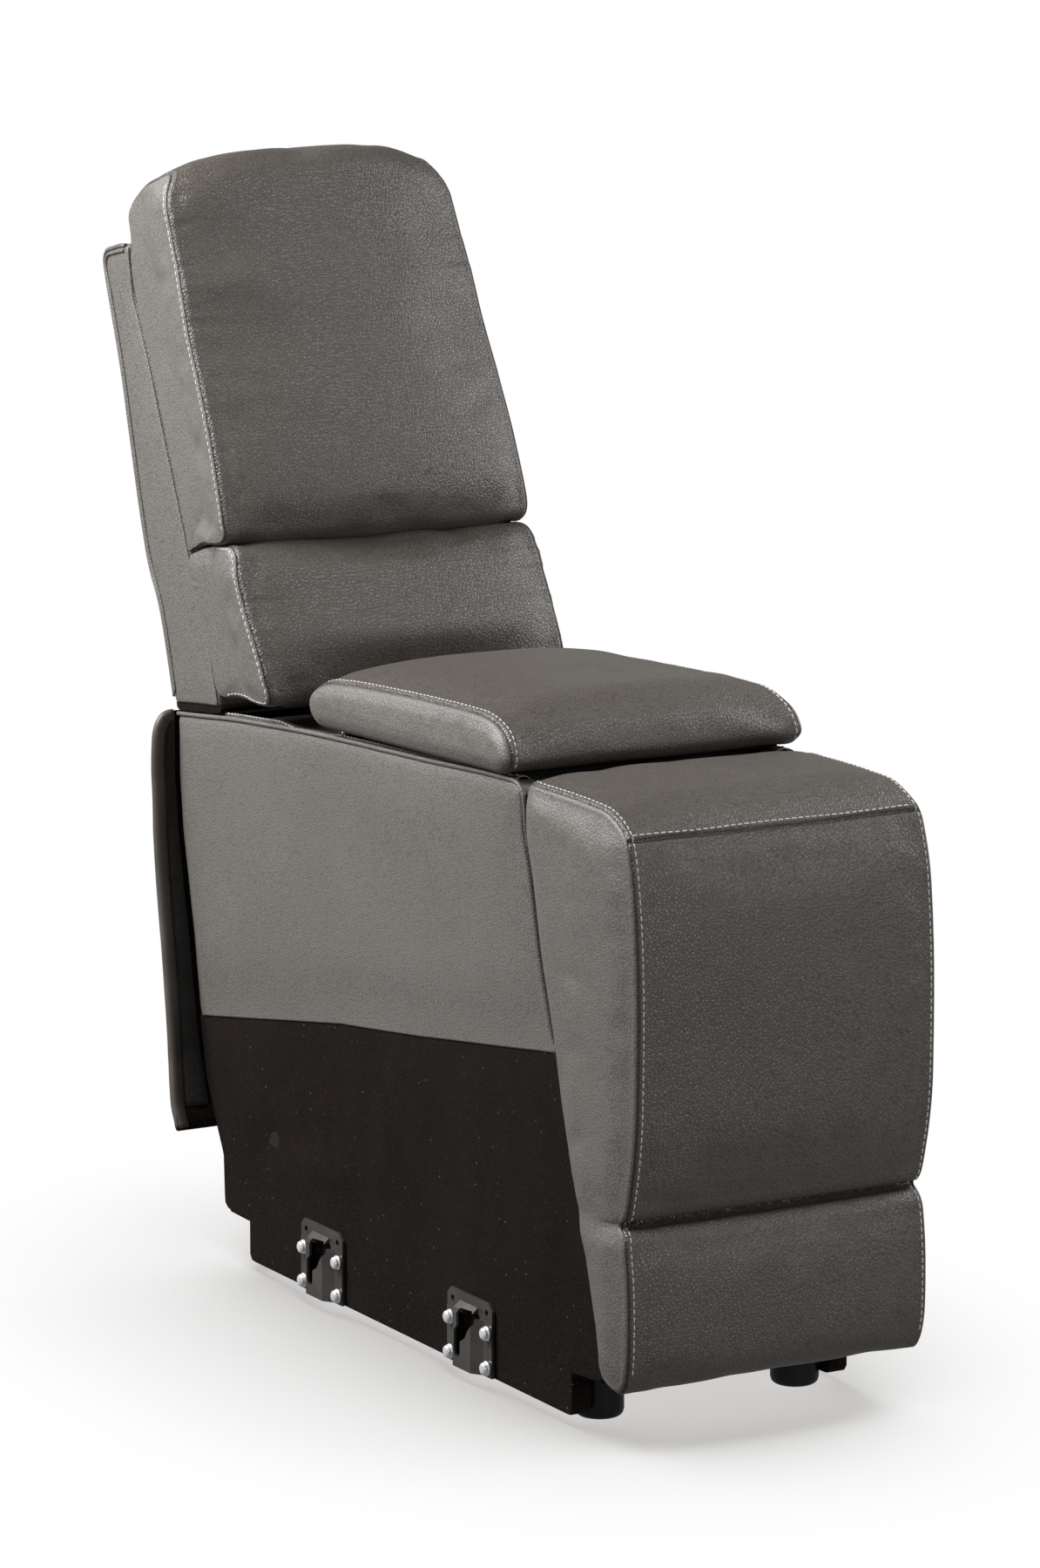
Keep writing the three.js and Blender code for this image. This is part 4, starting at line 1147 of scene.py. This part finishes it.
LEATHER_SIDE = [(9, 337.6), (40, 333.8), (80, 328.0), (135, 320.4), (200, 311.6), (257, 303.6), (330, 294.5), (414, 284.6),
                (520, 267), (620, 250), (709, 235.4), (715, 271), (721, 311),
                (733, 366), (744, 417), (750, 472), (750, 531), (633, 543), (485, 553.5), (411, 557.2), (300, 561.8), (243, 564),
                (160, 568.5), (123, 570), (100, 570.8), (84, 571.0), (75.5, 569.6), (71.2, 565.8), (69.6, 557), (67.6, 529), (54.6, 490), (38.6, 423), (16.6, 355)]
LEATHER_OPEN = np.array(LEATHER_SIDE[10:] + LEATHER_SIDE[:1], float)


def open_distance(line, p):
    a, b = line[:-1], line[1:]
    d = b - a
    t = np.clip(((p - a) * d).sum(1) / np.maximum((d * d).sum(1), 1e-9), 0, 1)
    return float(np.linalg.norm(p - a - t[:, None] * d, axis=1).min())


def leather_x(y, z, e):
    up = open_distance(LEATHER_OPEN, np.array([y, z], float))
    roll = 3.4 * math.sqrt(max(0.0, 1 - (1 - min(1.0, up / 16.0)) ** 2))
    puff = 3.8 * (1 - (1 - min(1.0, up / 60.0)) ** 2) * float(smooth(0, 75, z - np.interp(y, [9, 135, 257, 414, 709], [337, 320, 303, 284, 235])))
    ripple = 0.8 * nz(y, z, 0, scale=1 / 130.0, seed=51) + 0.15 * nz(y * 1.6, z, 0, scale=1 / 40.0, seed=52)
    pull = 0.5 * math.exp(-max(0.0, z - np.interp(y, [9, 135, 257, 414, 709], [337, 320, 303, 284, 235])) / 18.0) * (
        nz(y, 0, 0, scale=1 / 9.0, seed=53))
    # set back a little along the lower hem
    return 143.9 + roll + puff + (ripple + pull) * float(smooth(1, 20, e))


def upper(y, z):
    low = np.interp(y, [9, 135, 257, 414, 709], [338, 320.6, 303.8, 285, 236])
    return z > low + 2.5


def flange_rise(y):
    """Lower where the lid lies on it, and where the lid's rear edge swings past it."""
    return float(np.interp(y, [95, 96, 425, 445, 515, 545], [1.35, 1.0, 1.0, 0.45, 0.45, 1.35]))


for side, tag in ((-1, "left"), (1, "right")):
    # the shade function paints shade: dark along the front edge and its turn-in beside the gap to the pad, and under
    # the top welt
    o, area, size = flat_cover(f"side_leather_cover_{tag}", LEATHER_SIDE, 8.0, side, leather_x, upper, 16.0,
                               [M["leather_side"]], 1.1,
                               shade=lambda y, z, e, d: (1.0 if d > 0.3 else float(1 - smooth(3.2, 7.0, e))) if (y < 78 and 345 < z < 562)
                               else (0.85 * math.exp(-(e / 2.0) ** 2) if z > 515 and 75 < y < 742 else 0.0))
    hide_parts(f"side_leather_{tag}")
    # rolled top edge and the sewn flange behind it
    top = catmull([(750, 531), (700, 536), (633, 543), (560, 548.5), (485, 553.5), (411, 557.2), (330, 560.6), (243, 564),
                   (160, 568.4), (123, 569.8), (100, 570.4), (86, 570.2), (77, 567), (71, 560), (68.2, 548), (66.4, 528),
                   (64, 518), (62, 512)], False)
    top = even(top, 4.0)
    lift = np.array([nz(k * 4.0, 0, 0, scale=1 / 55.0, seed=54) * 0.8 for k in range(len(top))])
    line = np.stack([np.full(len(top), side * 146.0), top[:, 0], top[:, 1] + 0.4 + 0.3 * lift], 1)
    tube(f"side_welt_{tag}", line, np.interp(np.arange(len(top)), [0, len(top) - 9, len(top) - 1], [2.2, 2.2, 0.9]), [M["leather_side"]], "base", sides=12)
    fl = even(np.array([p for p in top if p[0] > 84 and p[0] < 738]), 4.0)
    prof = [(143.8, 0.4), (143.0, 2.2), (141.6, 3.8), (139.6, 4.5), (137.0, 4.4), (133.0, 3.8), (128.0, 1.4), (126.7, -1.5), (126.55, -6.0), (126.5, -16.0)]
    V = []
    for k, (y, z) in enumerate(fl):
        wob = 0.6 * nz(k * 4.0, 2, 0, scale=1 / 40.0, seed=55)
        for px, pz in prof:
            V.append((side * px, y, z + max(0.0, pz) * flange_rise(y) + min(0.0, pz) - 1.4 + 0.5 * wob))
    # painted shade: the seam attribute darkens the flange in the groove under the welt and where it turns down inside
    o = add_object(f"side_flange_{tag}", V, grid_faces(len(fl), len(prof), False), [M["leather_panel"]], merge=0,
                   attrs={"seam": [1.0, 0.9, 0.25, 0, 0, 0, 0.2, 0.6, 1.0, 1.0][:len(prof)] * len(fl)})
    sm = o.modifiers.new("Thickness", "SOLIDIFY")
    sm.thickness, sm.offset = 0.0009, -1.0
    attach(o, "base")
    sl = [(side * 140.6, y, z + 4.6 * flange_rise(y) - 1.4) for y, z in fl]
    stitches(f"side_flange_stitch_{tag}", sl, o, "base", seed=56, pitch=6.6, radius=0.75, lift=0.35)

CLOTH_SIDE = [(8.5, 339), (135, 322), (257, 305), (414, 286), (520, 269), (620, 252), (708.9, 236.6), (698, 180), (685, 152), (673, 127),
              (664, 110), (661, 104), (660, 80), (659, 57), (656, 53.5), (650, 51), (606, 50), (606, 14), (603.5, 11), (597, 10), (400, 10), (200, 10),
              (60, 10), (-12, 10), (-16, 14), (-16, 50), (-44, 52), (-70, 54), (-72, 60), (-60.4, 110), (-43.4, 167), (-22.4, 219), (-0.4, 292)]


def cloth_x(y, z, e):
    free = float(smooth(88, 150, z)) * float(smooth(4, 40, e))
    waves = 1.5 * nz(y * 1.5 + z * 0.4, z * 0.35, 0, scale=1 / 60.0, seed=61) + 0.9 * nz(y * 2.2 - z * 0.8, z * 0.25, 0, scale=1 / 42.0, seed=62)
    slack = 2.2 * math.exp(-(((y - 470) / 120.0) ** 2 + ((z - 130) / 42.0) ** 2)) * math.sin((y * 0.30 + z) / 13.0)
    low = 0.25 * nz(y, z, 0, scale=1 / 25.0, seed=63) * float(smooth(2, 12, e))
    return 146.0 + 0.35 * (1 - math.exp(-e / 1.5)) + free * (0.8 + 1.0 * waves + 1.5 * slack) * 0.9 + low * 0.6


def lower(y, z):
    low = np.interp(y, [9, 135, 257, 414, 709], [338, 320.6, 303.8, 285, 236])
    return z < low - 1.5


for side, tag in ((-1, "left"), (1, "right")):
    o, area, size = flat_cover(f"side_cloth_cover_{tag}", CLOTH_SIDE, 9.0, side, cloth_x, lower, 19.5,
                               [M["nonwoven"]], 0.6, wrap_out=0.2)
    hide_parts(f"side_cloth_{tag}")

# ------------------------------------------------------------------ rear skirt, its bound flaps and loop bands
skirt_y = table((120, 675), (129, 681), (150, 690), (200, 707), (262, 720), (311, 728), (366, 740), (417, 750), (472, 755.5), (533, 756))
skirt_w = table((128, 186.5), (150, 187.0), (200, 181.0), (262, 178.0), (323, 177.0), (383, 175.0), (443, 172.5), (495, 171.5), (512, 169.5), (522, 166.5), (529, 161.5), (533, 154.0))
zs = np.concatenate([np.linspace(129, 150, 5), np.linspace(156, 500, 50), np.linspace(505, 533.4, 9)])
us = np.linspace(-1, 1, 61)
V, F, FM = [], [], []
for z in zs:
    for u in us:
        w = float(skirt_w(z))
        x = u * w
        wob = 0.9 * nz(x, z, 0, scale=1 / 70.0, seed=71) * (1 if abs(x) < 140 else 0.5) + (0.9 * nz(x * 2, z, 4, scale=1 / 30.0, seed=72) if z > 480 and abs(x) > 150 else 0)
        V.append((x, float(skirt_y(z)) + 1.1 + wob * 0.8, z))
n1, m1 = len(zs), len(us)
F = grid_faces(n1, m1, False)
skirt_o = add_object("rear_skirt_cover", V, F, [M["leather_side"], M["nonwoven"]], merge=0)
if sum(p.normal.y * p.area for p in skirt_o.data.polygons) < 0:
    skirt_o.data.flip_normals()
sm = skirt_o.modifiers.new("Thickness", "SOLIDIFY")
sm.thickness, sm.offset, sm.material_offset, sm.material_offset_rim = 0.0016, 0.0, 1, 1
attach(skirt_o, "base")
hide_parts("rear_skirt")

FLAP_EDGE = [(148.5, 534.0), (154, 533.6), (160, 531), (165.2, 525), (169.2, 515), (171.2, 495), (172, 443), (174.8, 383), (176.8, 323),
             (177.8, 262), (180.8, 202), (184.5, 172), (186.6, 150), (185.8, 131)]
bind_in = table((131, 173.5), (154, 173.0), (200, 167.6), (261, 165.6), (321, 164.6), (381, 161.8), (442, 159.8), (494, 159.0), (512, 156.8), (524, 153.5), (534, 148.0))
for side, tag in ((-1, "left"), (1, "right")):
    e = even(catmull([(x, z) for x, z in FLAP_EDGE], False), 4.0)
    # bound edge: a folded tape over the flap's rim
    V, rows = [], []
    for k, (x, z) in enumerate(e):
        d = np.array(e[min(k + 1, len(e) - 1)]) - np.array(e[max(k - 1, 0)])
        d /= max(np.linalg.norm(d), 1e-9)
        nx, nzv = -d[1], d[0]                      # inwards across the tape
        if nx > 0:
            nx, nzv = -nx, -nzv
        y0 = float(skirt_y(z)) + 1.1
        top_k = float(smooth(470, 525, z))
        pk = 1.1 * top_k * puckers(k * 4.0, 73, 9.0) + 0.3 * nz(k * 4.0, 0, 0, scale=1 / 20.0, seed=74)
        wide = 12.4 + 0.6 * nz(k * 4.0, 5, 0, scale=1 / 50.0, seed=75)
        prof = [(wide, -1.7), (wide - 0.8, -2.9), (wide - 2.6, -3.2 - pk * 0.3), (wide * 0.5, -3.9 - pk * 0.5), (2.6, -3.7 - pk * 0.6), (0.6, -2.6), (-0.6, -0.4),
                (-0.4, 2.0), (1.4, 3.6 + pk * 0.4), (5.0, 3.9), (wide * 0.8, 3.2), (wide, 1.6)]
        for a, dy in prof:
            V.append((side * (x + nx * a), y0 + dy, z + nzv * a))
        rows.append(len(prof))
    o = add_object(f"flap_binding_{tag}", V, grid_faces(len(e), rows[0], False), [M["vinyl_black"]], merge=0)
    s = o.modifiers.new("Thickness", "SOLIDIFY")
    s.thickness, s.offset = 0.0005, 0.0
    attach(o, "base")
    # stitched line on the tape, front side
    st = []
    for k, (x, z) in enumerate(e):
        if 4 < k < len(e) - 4:
            st.append((side * (float(bind_in(z)) + 2.2), float(skirt_y(z)) - 2.2, z))
    so = stitches(f"flap_stitch_{tag}", st, o, "base", seed=76, pitch=5.5, length=4.4, radius=0.45)
    so.data.materials.clear()
    so.data.materials.append(M["loop_black"])
    # loop band between the tape and the side panel
    V = []
    zz = np.linspace(150, 524, 94)
    for z in zz:
        a, b_ = 147.6, float(bind_in(z)) + 0.6
        a = min(a, b_ - 5)
        y0 = float(skirt_y(z))
        for k in range(9):
            t = k / 8
            x = a + (b_ - a) * t
            fz = 0.7 * nz(x * 3, z * 3, 0, scale=1 / 4.0, seed=77) + 0.4 * nz(x, z, 9, scale=1 / 2.0, seed=78)
            h = 2.6 * math.sin(math.pi * min(1.0, max(0.0, t))) ** 0.35 if 0 < t < 1 else 0.0
            V.append((side * x, y0 - 0.2 - h - fz * (1 if 0 < t < 1 else 0), z))
    o = add_object(f"flap_loop_band_{tag}", V, grid_faces(len(zz), 9, False), [M["loop_black"]], merge=0)
    s = o.modifiers.new("Thickness", "SOLIDIFY")
    s.thickness, s.offset = 0.0006, 0.0
    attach(o, "base")
# hem along the bottom of the skirt
V = []
xs = np.linspace(-186, 186, 80)
prof = [(149.5, -1.6), (148.5, -2.6), (138, -3.0), (130.5, -2.7), (128.4, -0.6), (128.6, 2.6), (131, 3.8), (148, 3.4), (149.5, 2.2)]
for x in xs:
    for z, dy in prof:
        w = 0.5 * nz(x, z, 0, scale=1 / 25.0, seed=79)
        V.append((x, float(skirt_y(z)) + 1.1 + dy + w * 0.6, z))
o = add_object("skirt_hem", V, grid_faces(len(xs), len(prof), False), [M["nonwoven"]], merge=0)
s = o.modifiers.new("Thickness", "SOLIDIFY")
s.thickness, s.offset = 0.0005, 0.0
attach(o, "base")

# ------------------------------------------------------------------ decks, liner, dust cloth
for node, poly, spine_, seed in (("front_deck", [(75, 546), (117.7, 546), (117.7, 567), (75, 567)], ((86, 556.5), (107, 556.5)), 81),
                                 ("rear_deck", [(446.3, 529), (655, 519), (655, 537), (446.3, 547)], ((458, 537.5), (644, 528.5)), 82)):
    c = Stuffed(poly, lambda z, y: 126.2, spine_, lambda u, y, z, n: (0, 0), sharp=(0, 1, 2, 3), puff=0.2, puff_reach=6, seam_gap=0.2,
                ridge=0.0, seed=seed, reach=5.0, dent=0.25, pucker_amp=lambda y, z: 0.05, step=3.5, mid_step=16.0)
    c.sm[:] = 0
    finish_stuffed(f"{node}_cover", c, [M["leather_panel"], M["leather_panel"]], "base", node)


def plain_sheet(name, pts_fn, n, m, mat, body, thickness=0.6, replaces=None):
    V = [pts_fn(i / (n - 1), j / (m - 1)) for i in range(n) for j in range(m)]
    o = add_object(name, V, grid_faces(n, m, False), [mat], merge=0)
    s = o.modifiers.new("Thickness", "SOLIDIFY")
    s.thickness, s.offset = thickness / 1000.0, 0.0
    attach(o, body)
    if replaces:
        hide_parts(replaces)
    return o


plain_sheet("bottom_dust_cloth_sheet",
            lambda a, b: (-126.4 + 252.8 * b, -14.2 + 618 * a,
                          48.6 - 1.2 * math.sin(math.pi * a) * math.sin(math.pi * b) + 0.4 * nz(a * 446, b * 252, 0, scale=1 / 40.0, seed=83)),
            60, 36, M["nonwoven"], "base",
            replaces="bottom_dust_cloth")


plain_sheet("front_rail_cloth",
            lambda a, b: (-126.3 + 252.6 * b, -14.1 - 0.3 * nz(a * 120, b * 252, 0, scale=1 / 30.0, seed=85), 48.4 + 124 * a),
            24, 36, M["nonwoven"], "base", 0.5)
c = Stuffed([(661, 552), (657, 547), (668, 543.6), (700, 540.2), (748, 535.6), (753, 538), (753.4, 543)], lambda z, y: 146.0,
            ((676, 546), (738, 541)), lambda u, y, z, n: (0, 0), puff=0.2, puff_reach=4, seam_gap=0.2, ridge=0.0, seed=86, reach=5.0,
            dent=0.3, pucker_amp=lambda y, z: 0.1, step=5.0, mid_step=16.0)
o = add_object("back_underside_cloth", c.verts, c.faces, [M["nonwoven"], M["nonwoven"]], c.fmat, merge=0.05)
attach(o, "back")


def lid_z(y):
    return 575.4 - (y - 100) * 0.02931


plain_sheet("lid_liner",
            lambda a, b: (-138.1 + 276.2 * b, max(98.9, 88 + 328 * a), lid_z(88 + 328 * a) - 0.9 + max(0.0, 98.9 - (88 + 328 * a)) + 0.25 * nz(a * 314, b * 272, 0, scale=1 / 30.0, seed=84)),
            90, 44, M["nonwoven"], "lid", 0.4)
V = []
hem = even(np.array([(-136, 102), (136, 102), (136, 416), (-136, 416)], float), 6.0, True)
hem_line = np.array([(x, y, lid_z(y) - 1.4) for x, y in hem])
tube("lid_liner_edge", hem_line, 0.9, [M["nonwoven"]], "lid", closed=True, sides=6, up=(0, 0, 1))


def staples(name, pts, body, along, down=(0, 0, -1)):
    """Wire staples: a crown 10 mm long on two legs."""
    V, F = [], []
    for p in pts:
        p = np.array(p, float)
        t = np.array(along, float)
        d = np.array(down, float)
        b = np.cross(t, d)
        path = [p - t * 5 - d * 0.6, p - t * 5 + d * 0.3, p - t * 4.4 + d * 0.8, p + t * 4.4 + d * 0.8, p + t * 5 + d * 0.3, p + t * 5 - d * 0.6]
        base = len(V)
        for k, q in enumerate(path):
            tt = path[min(k + 1, 5)] - path[max(k - 1, 0)]
            tt /= np.linalg.norm(tt)
            nn = np.cross(b, tt)
            for w in range(4):
                an = math.pi / 4 + math.pi / 2 * w
                V.append(q + 0.5 * (math.cos(an) * b + math.sin(an) * nn))
        for k in range(5):
            for w in range(4):
                x = (w + 1) % 4
                F.append((base + 4 * k + w, base + 4 * k + x, base + 4 * k + 4 + x, base + 4 * k + 4 + w))
        F.append((base + 3, base + 2, base + 1, base))
        F.append((base + 20, base + 21, base + 22, base + 23))
    o = add_object(name, V, F, [M["zinc"]], merge=0)
    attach(o, body)
    return o


staples("lid_liner_staples", [(x, y, lid_z(y) - 1.0) for x in (-130, 130) for y in np.arange(115, 410, 38)], "lid", (0, 1, 0))
staples("lid_liner_staples_ends", [(x, y, lid_z(y) - 1.0) for y in (108, 410) for x in np.arange(-114, 120, 38)], "lid", (1, 0, 0))
staples("dust_cloth_staples", [(x, y, 48.0) for y in (82, 510) for x in np.arange(-108, 115, 36)], "base", (1, 0, 0))


# ------------------------------------------------------------------ turned and domed hardware
def lathe(name, prof, at, axis, mats, body, node=None, sides=40, extra=None):
    """prof is (radius, height) in mm along axis from the point at."""
    axis = np.array(axis, float)
    a = np.cross(axis, (0, 0, 1) if abs(axis[2]) < 0.9 else (1, 0, 0))
    a /= np.linalg.norm(a)
    b = np.cross(axis, a)
    V = []
    for r, h in prof:
        for k in range(sides):
            w = 2 * math.pi * k / sides
            rr = r if extra is None else extra(r, h, w)
            V.append(np.array(at) + axis * h + rr * (math.cos(w) * a + math.sin(w) * b))
    F = []
    for i in range(len(prof) - 1):
        for k in range(sides):
            l = (k + 1) % sides
            F.append((i * sides + k, i * sides + l, (i + 1) * sides + l, (i + 1) * sides + k))
    F.append(tuple(range(sides))[::-1])
    F.append(tuple((len(prof) - 1) * sides + k for k in range(sides)))
    o = add_object(name, V, F, mats, merge=0)
    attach(o, body)
    if node:
        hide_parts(node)
    return o


def rounded(prof, cut=0.5, steps=3):
    """The profile with its inner corners cut round."""
    p = [np.array(q, float) for q in prof]
    out = [p[0]]
    for a, b, c in zip(p, p[1:], p[2:]):
        la, lc = np.linalg.norm(a - b), np.linalg.norm(c - b)
        k = min(cut, 0.45 * la, 0.45 * lc)
        s, e = b + (a - b) / max(la, 1e-9) * k, b + (c - b) / max(lc, 1e-9) * k
        for t in range(steps + 1):
            w = t / steps
            out.append((1 - w) ** 2 * s + 2 * w * (1 - w) * b + w * w * e)
    out.append(p[-1])
    return out


FOOT = [(14.5, 2.4), (15.5, 0.0), (18.6, 0.4), (21.4, 2.6), (22.5, 6.6), (22.4, 20), (22.3, 38), (21.8, 46.2), (20.4, 49.9), (6, 50)]
for tag, x, y in (("front_left", -104, 7), ("front_right", 104, 7), ("rear_left", -104, 572), ("rear_right", 104, 572)):
    lathe(f"foot_turned_{tag}", rounded(FOOT, 1.2, 4), (x, y, 0), (0, 0, 1), [M["plastic_black"]], "base",
          f"foot_{tag}", 56, extra=lambda r, h, w: r * (1 + 0.0015 * math.sin(3 * w)))


def hexed(r, h, w):
    if h > 5.2 + 0.2 and r > 3.8:
        a = (w + math.pi / 6) % (math.pi / 3) - math.pi / 6
        return min(r, 4.9 / math.cos(a) * 0.98)
    return r


for tag, dy in (("front", 0), ("rear", 287)):
    for i, (y, z) in enumerate([[196.5, 19], [196.5, 52], [128.5, 19], [128.5, 52]]):
        prof = rounded([(2.6, 0.3), (2.6, 3.6), (6.9, 3.8), (7.0, 4.9), (6.6, 5.6), (6.0, 6.1), (5.9, 8.0), (5.0, 9.2), (3.2, 10.0), (0.8, 10.3)], 0.4, 2)
        lathe(f"bolt_{tag}_{i + 1}", prof, (-147.3, y + dy, z), (-1, 0, 0), [M["zinc"]], "base", f"bracket_bolt_{tag}_{i + 1}", 36)
    for i, (y, z) in enumerate([[147.5, 19], [147.5, 52], [197.5, 19], [197.5, 52]]):
        prof = rounded([(2.6, 0.1), (2.6, 3.1), (6.3, 3.3), (6.4, 4.2), (6.0, 4.9), (5.4, 5.5), (5.2, 7.1), (4.4, 8.3), (2.8, 9.1), (0.8, 9.4)], 0.4, 2)
        lathe(f"stud_plate_bolt_{tag}_{i + 1}", prof, (147.3, y + dy, z), (1, 0, 0), [M["zinc"]], "base", None, 36)

# ------------------------------------------------------------------ floor, light, camera
# the floor is a pale emitter with a painted shadow: its colour darkens with ambient occlusion near the object
m = bpy.data.materials.new("floor_pale")
m.use_nodes = True
t = m.node_tree
t.nodes.clear()
out = t.nodes.new("ShaderNodeOutputMaterial")
em = t.nodes.new("ShaderNodeEmission")
ao = t.nodes.new("ShaderNodeAmbientOcclusion")
ao.samples = 16
ao.inputs["Distance"].default_value = 0.5
shade = ramp(t, ao.outputs["AO"], (0.0, (0.64, 0.63, 0.62)), (0.42, (0.50, 0.49, 0.48)), (0.66, (0.82, 0.815, 0.81)), (0.92, (1.0, 1.0, 1.0)))
t.links.new(shade, em.inputs[0])
t.links.new(em.outputs[0], out.inputs[0])
me = bpy.data.meshes.new("floor")
bm = bmesh.new()
bmesh.ops.create_circle(bm, cap_ends=True, radius=24.0, segments=96)
bm.to_mesh(me)
bm.free()
me.materials.append(m)
floor = bpy.data.objects.new("floor", me)
floor.location = (0, 0, -0.0004)
scene.collection.objects.link(floor)
floor.visible_diffuse = floor.visible_glossy = False
# a pale dome behind everything, seen but giving no light
m = bpy.data.materials.new("backdrop_pale")
m.use_nodes = True
t = m.node_tree
t.nodes.clear()
out = t.nodes.new("ShaderNodeOutputMaterial")
em = t.nodes.new("ShaderNodeEmission")
em.inputs[0].default_value = (1, 1, 1, 1)
em.inputs[1].default_value = 1.0
t.links.new(em.outputs[0], out.inputs[0])
me = bpy.data.meshes.new("backdrop")
bm = bmesh.new()
bmesh.ops.create_uvsphere(bm, u_segments=48, v_segments=24, radius=23.5)
bmesh.ops.reverse_faces(bm, faces=bm.faces)
bm.to_mesh(me)
bm.free()
me.materials.append(m)
# the floor fades into it away from the object
m = bpy.data.materials.new("floor_fade")
m.use_nodes = True
t = m.node_tree
t.nodes.clear()
out = t.nodes.new("ShaderNodeOutputMaterial")
em = t.nodes.new("ShaderNodeEmission")
em.inputs[0].default_value = (1, 1, 1, 1)
em.inputs[1].default_value = 1.0
tr = t.nodes.new("ShaderNodeBsdfTransparent")
ms = t.nodes.new("ShaderNodeMixShader")
co = t.nodes.new("ShaderNodeTexCoord")
ln = t.nodes.new("ShaderNodeVectorMath")
ln.operation = "LENGTH"
mp = N(t, "ShaderNodeMapping")
mp.inputs["Scale"].default_value = (1.15, 0.82, 1.0)
mp.inputs["Location"].default_value = (0.12, 0.0, 0.0)
t.links.new(co.outputs["Object"], mp.inputs["Vector"])
t.links.new(mp.outputs[0], ln.inputs[0])
rr = t.nodes.new("ShaderNodeMapRange")
rr.interpolation_type = "SMOOTHERSTEP"
rr.inputs["From Min"].default_value, rr.inputs["From Max"].default_value = 0.32, 0.86
t.links.new(ln.outputs["Value"], rr.inputs["Value"])
t.links.new(rr.outputs["Result"], ms.inputs[0])
t.links.new(tr.outputs[0], ms.inputs[1])
t.links.new(em.outputs[0], ms.inputs[2])
t.links.new(ms.outputs[0], out.inputs[0])
fme = bpy.data.meshes.new("floor_fade")
bm = bmesh.new()
bmesh.ops.create_circle(bm, cap_ends=True, radius=23.0, segments=96)
bm.to_mesh(fme)
bm.free()
fme.materials.append(m)
fade = bpy.data.objects.new("floor_fade", fme)
fade.location = (0, 0, -0.0002)
scene.collection.objects.link(fade)
fade.visible_diffuse = fade.visible_glossy = fade.visible_transmission = fade.visible_shadow = False
drop = bpy.data.objects.new("backdrop", me)
scene.collection.objects.link(drop)
drop.visible_diffuse = drop.visible_glossy = drop.visible_transmission = drop.visible_shadow = False

world = bpy.data.worlds.new("studio")
scene.world = world
world.use_nodes = True
bg = world.node_tree.nodes["Background"]
bg.inputs[0].default_value = (1.0, 1.0, 1.0, 1)
bg.inputs[1].default_value = 0.20


def area_light(name, at, to, size, power, colour=(1, 1, 1), size_y=None):
    d = bpy.data.lights.new(name, "AREA")
    d.energy, d.size, d.color = power, size, colour
    if size_y:
        d.shape, d.size_y = "RECTANGLE", size_y
    o = bpy.data.objects.new(name, d)
    o.location = at
    o.rotation_mode = "QUATERNION"
    o.rotation_quaternion = (Vector(to) - Vector(at)).to_track_quat("-Z", "Y")
    scene.collection.objects.link(o)
    return o


area_light("key_left", (-1.8, 1.1, 2.3), (0, 0.2, 0.8), 1.5, 168.0)
area_light("front_top", (0.8, -1.9, 3.2), (0, -0.1, 0.6), 1.3, 33.0)
area_light("front_fill", (0.3, -2.7, 0.8), (0, -0.5, 0.4), 1.2, 17.0)
area_light("left_fill", (-2.4, -3.0, 0.9), (0, 0, 0.35), 1.4, 7.0)
area_light("right_soft", (2.6, -0.2, 1.6), (0, -0.1, 0.8), 1.7, 46.0)

cam_data = bpy.data.cameras.new("camera")
cam_data.sensor_width, cam_data.sensor_fit, cam_data.lens = 36.0, "AUTO", 140.33
cam_data.clip_start, cam_data.clip_end = 0.1, 100.0
cam = bpy.data.objects.new("camera", cam_data)
cam.location = (-2.81594, -4.92620, 1.56776)
cam.rotation_euler = (math.radians(90 - 10.582), 0.0, math.radians(-29.980))
scene.collection.objects.link(cam)
scene.camera = cam
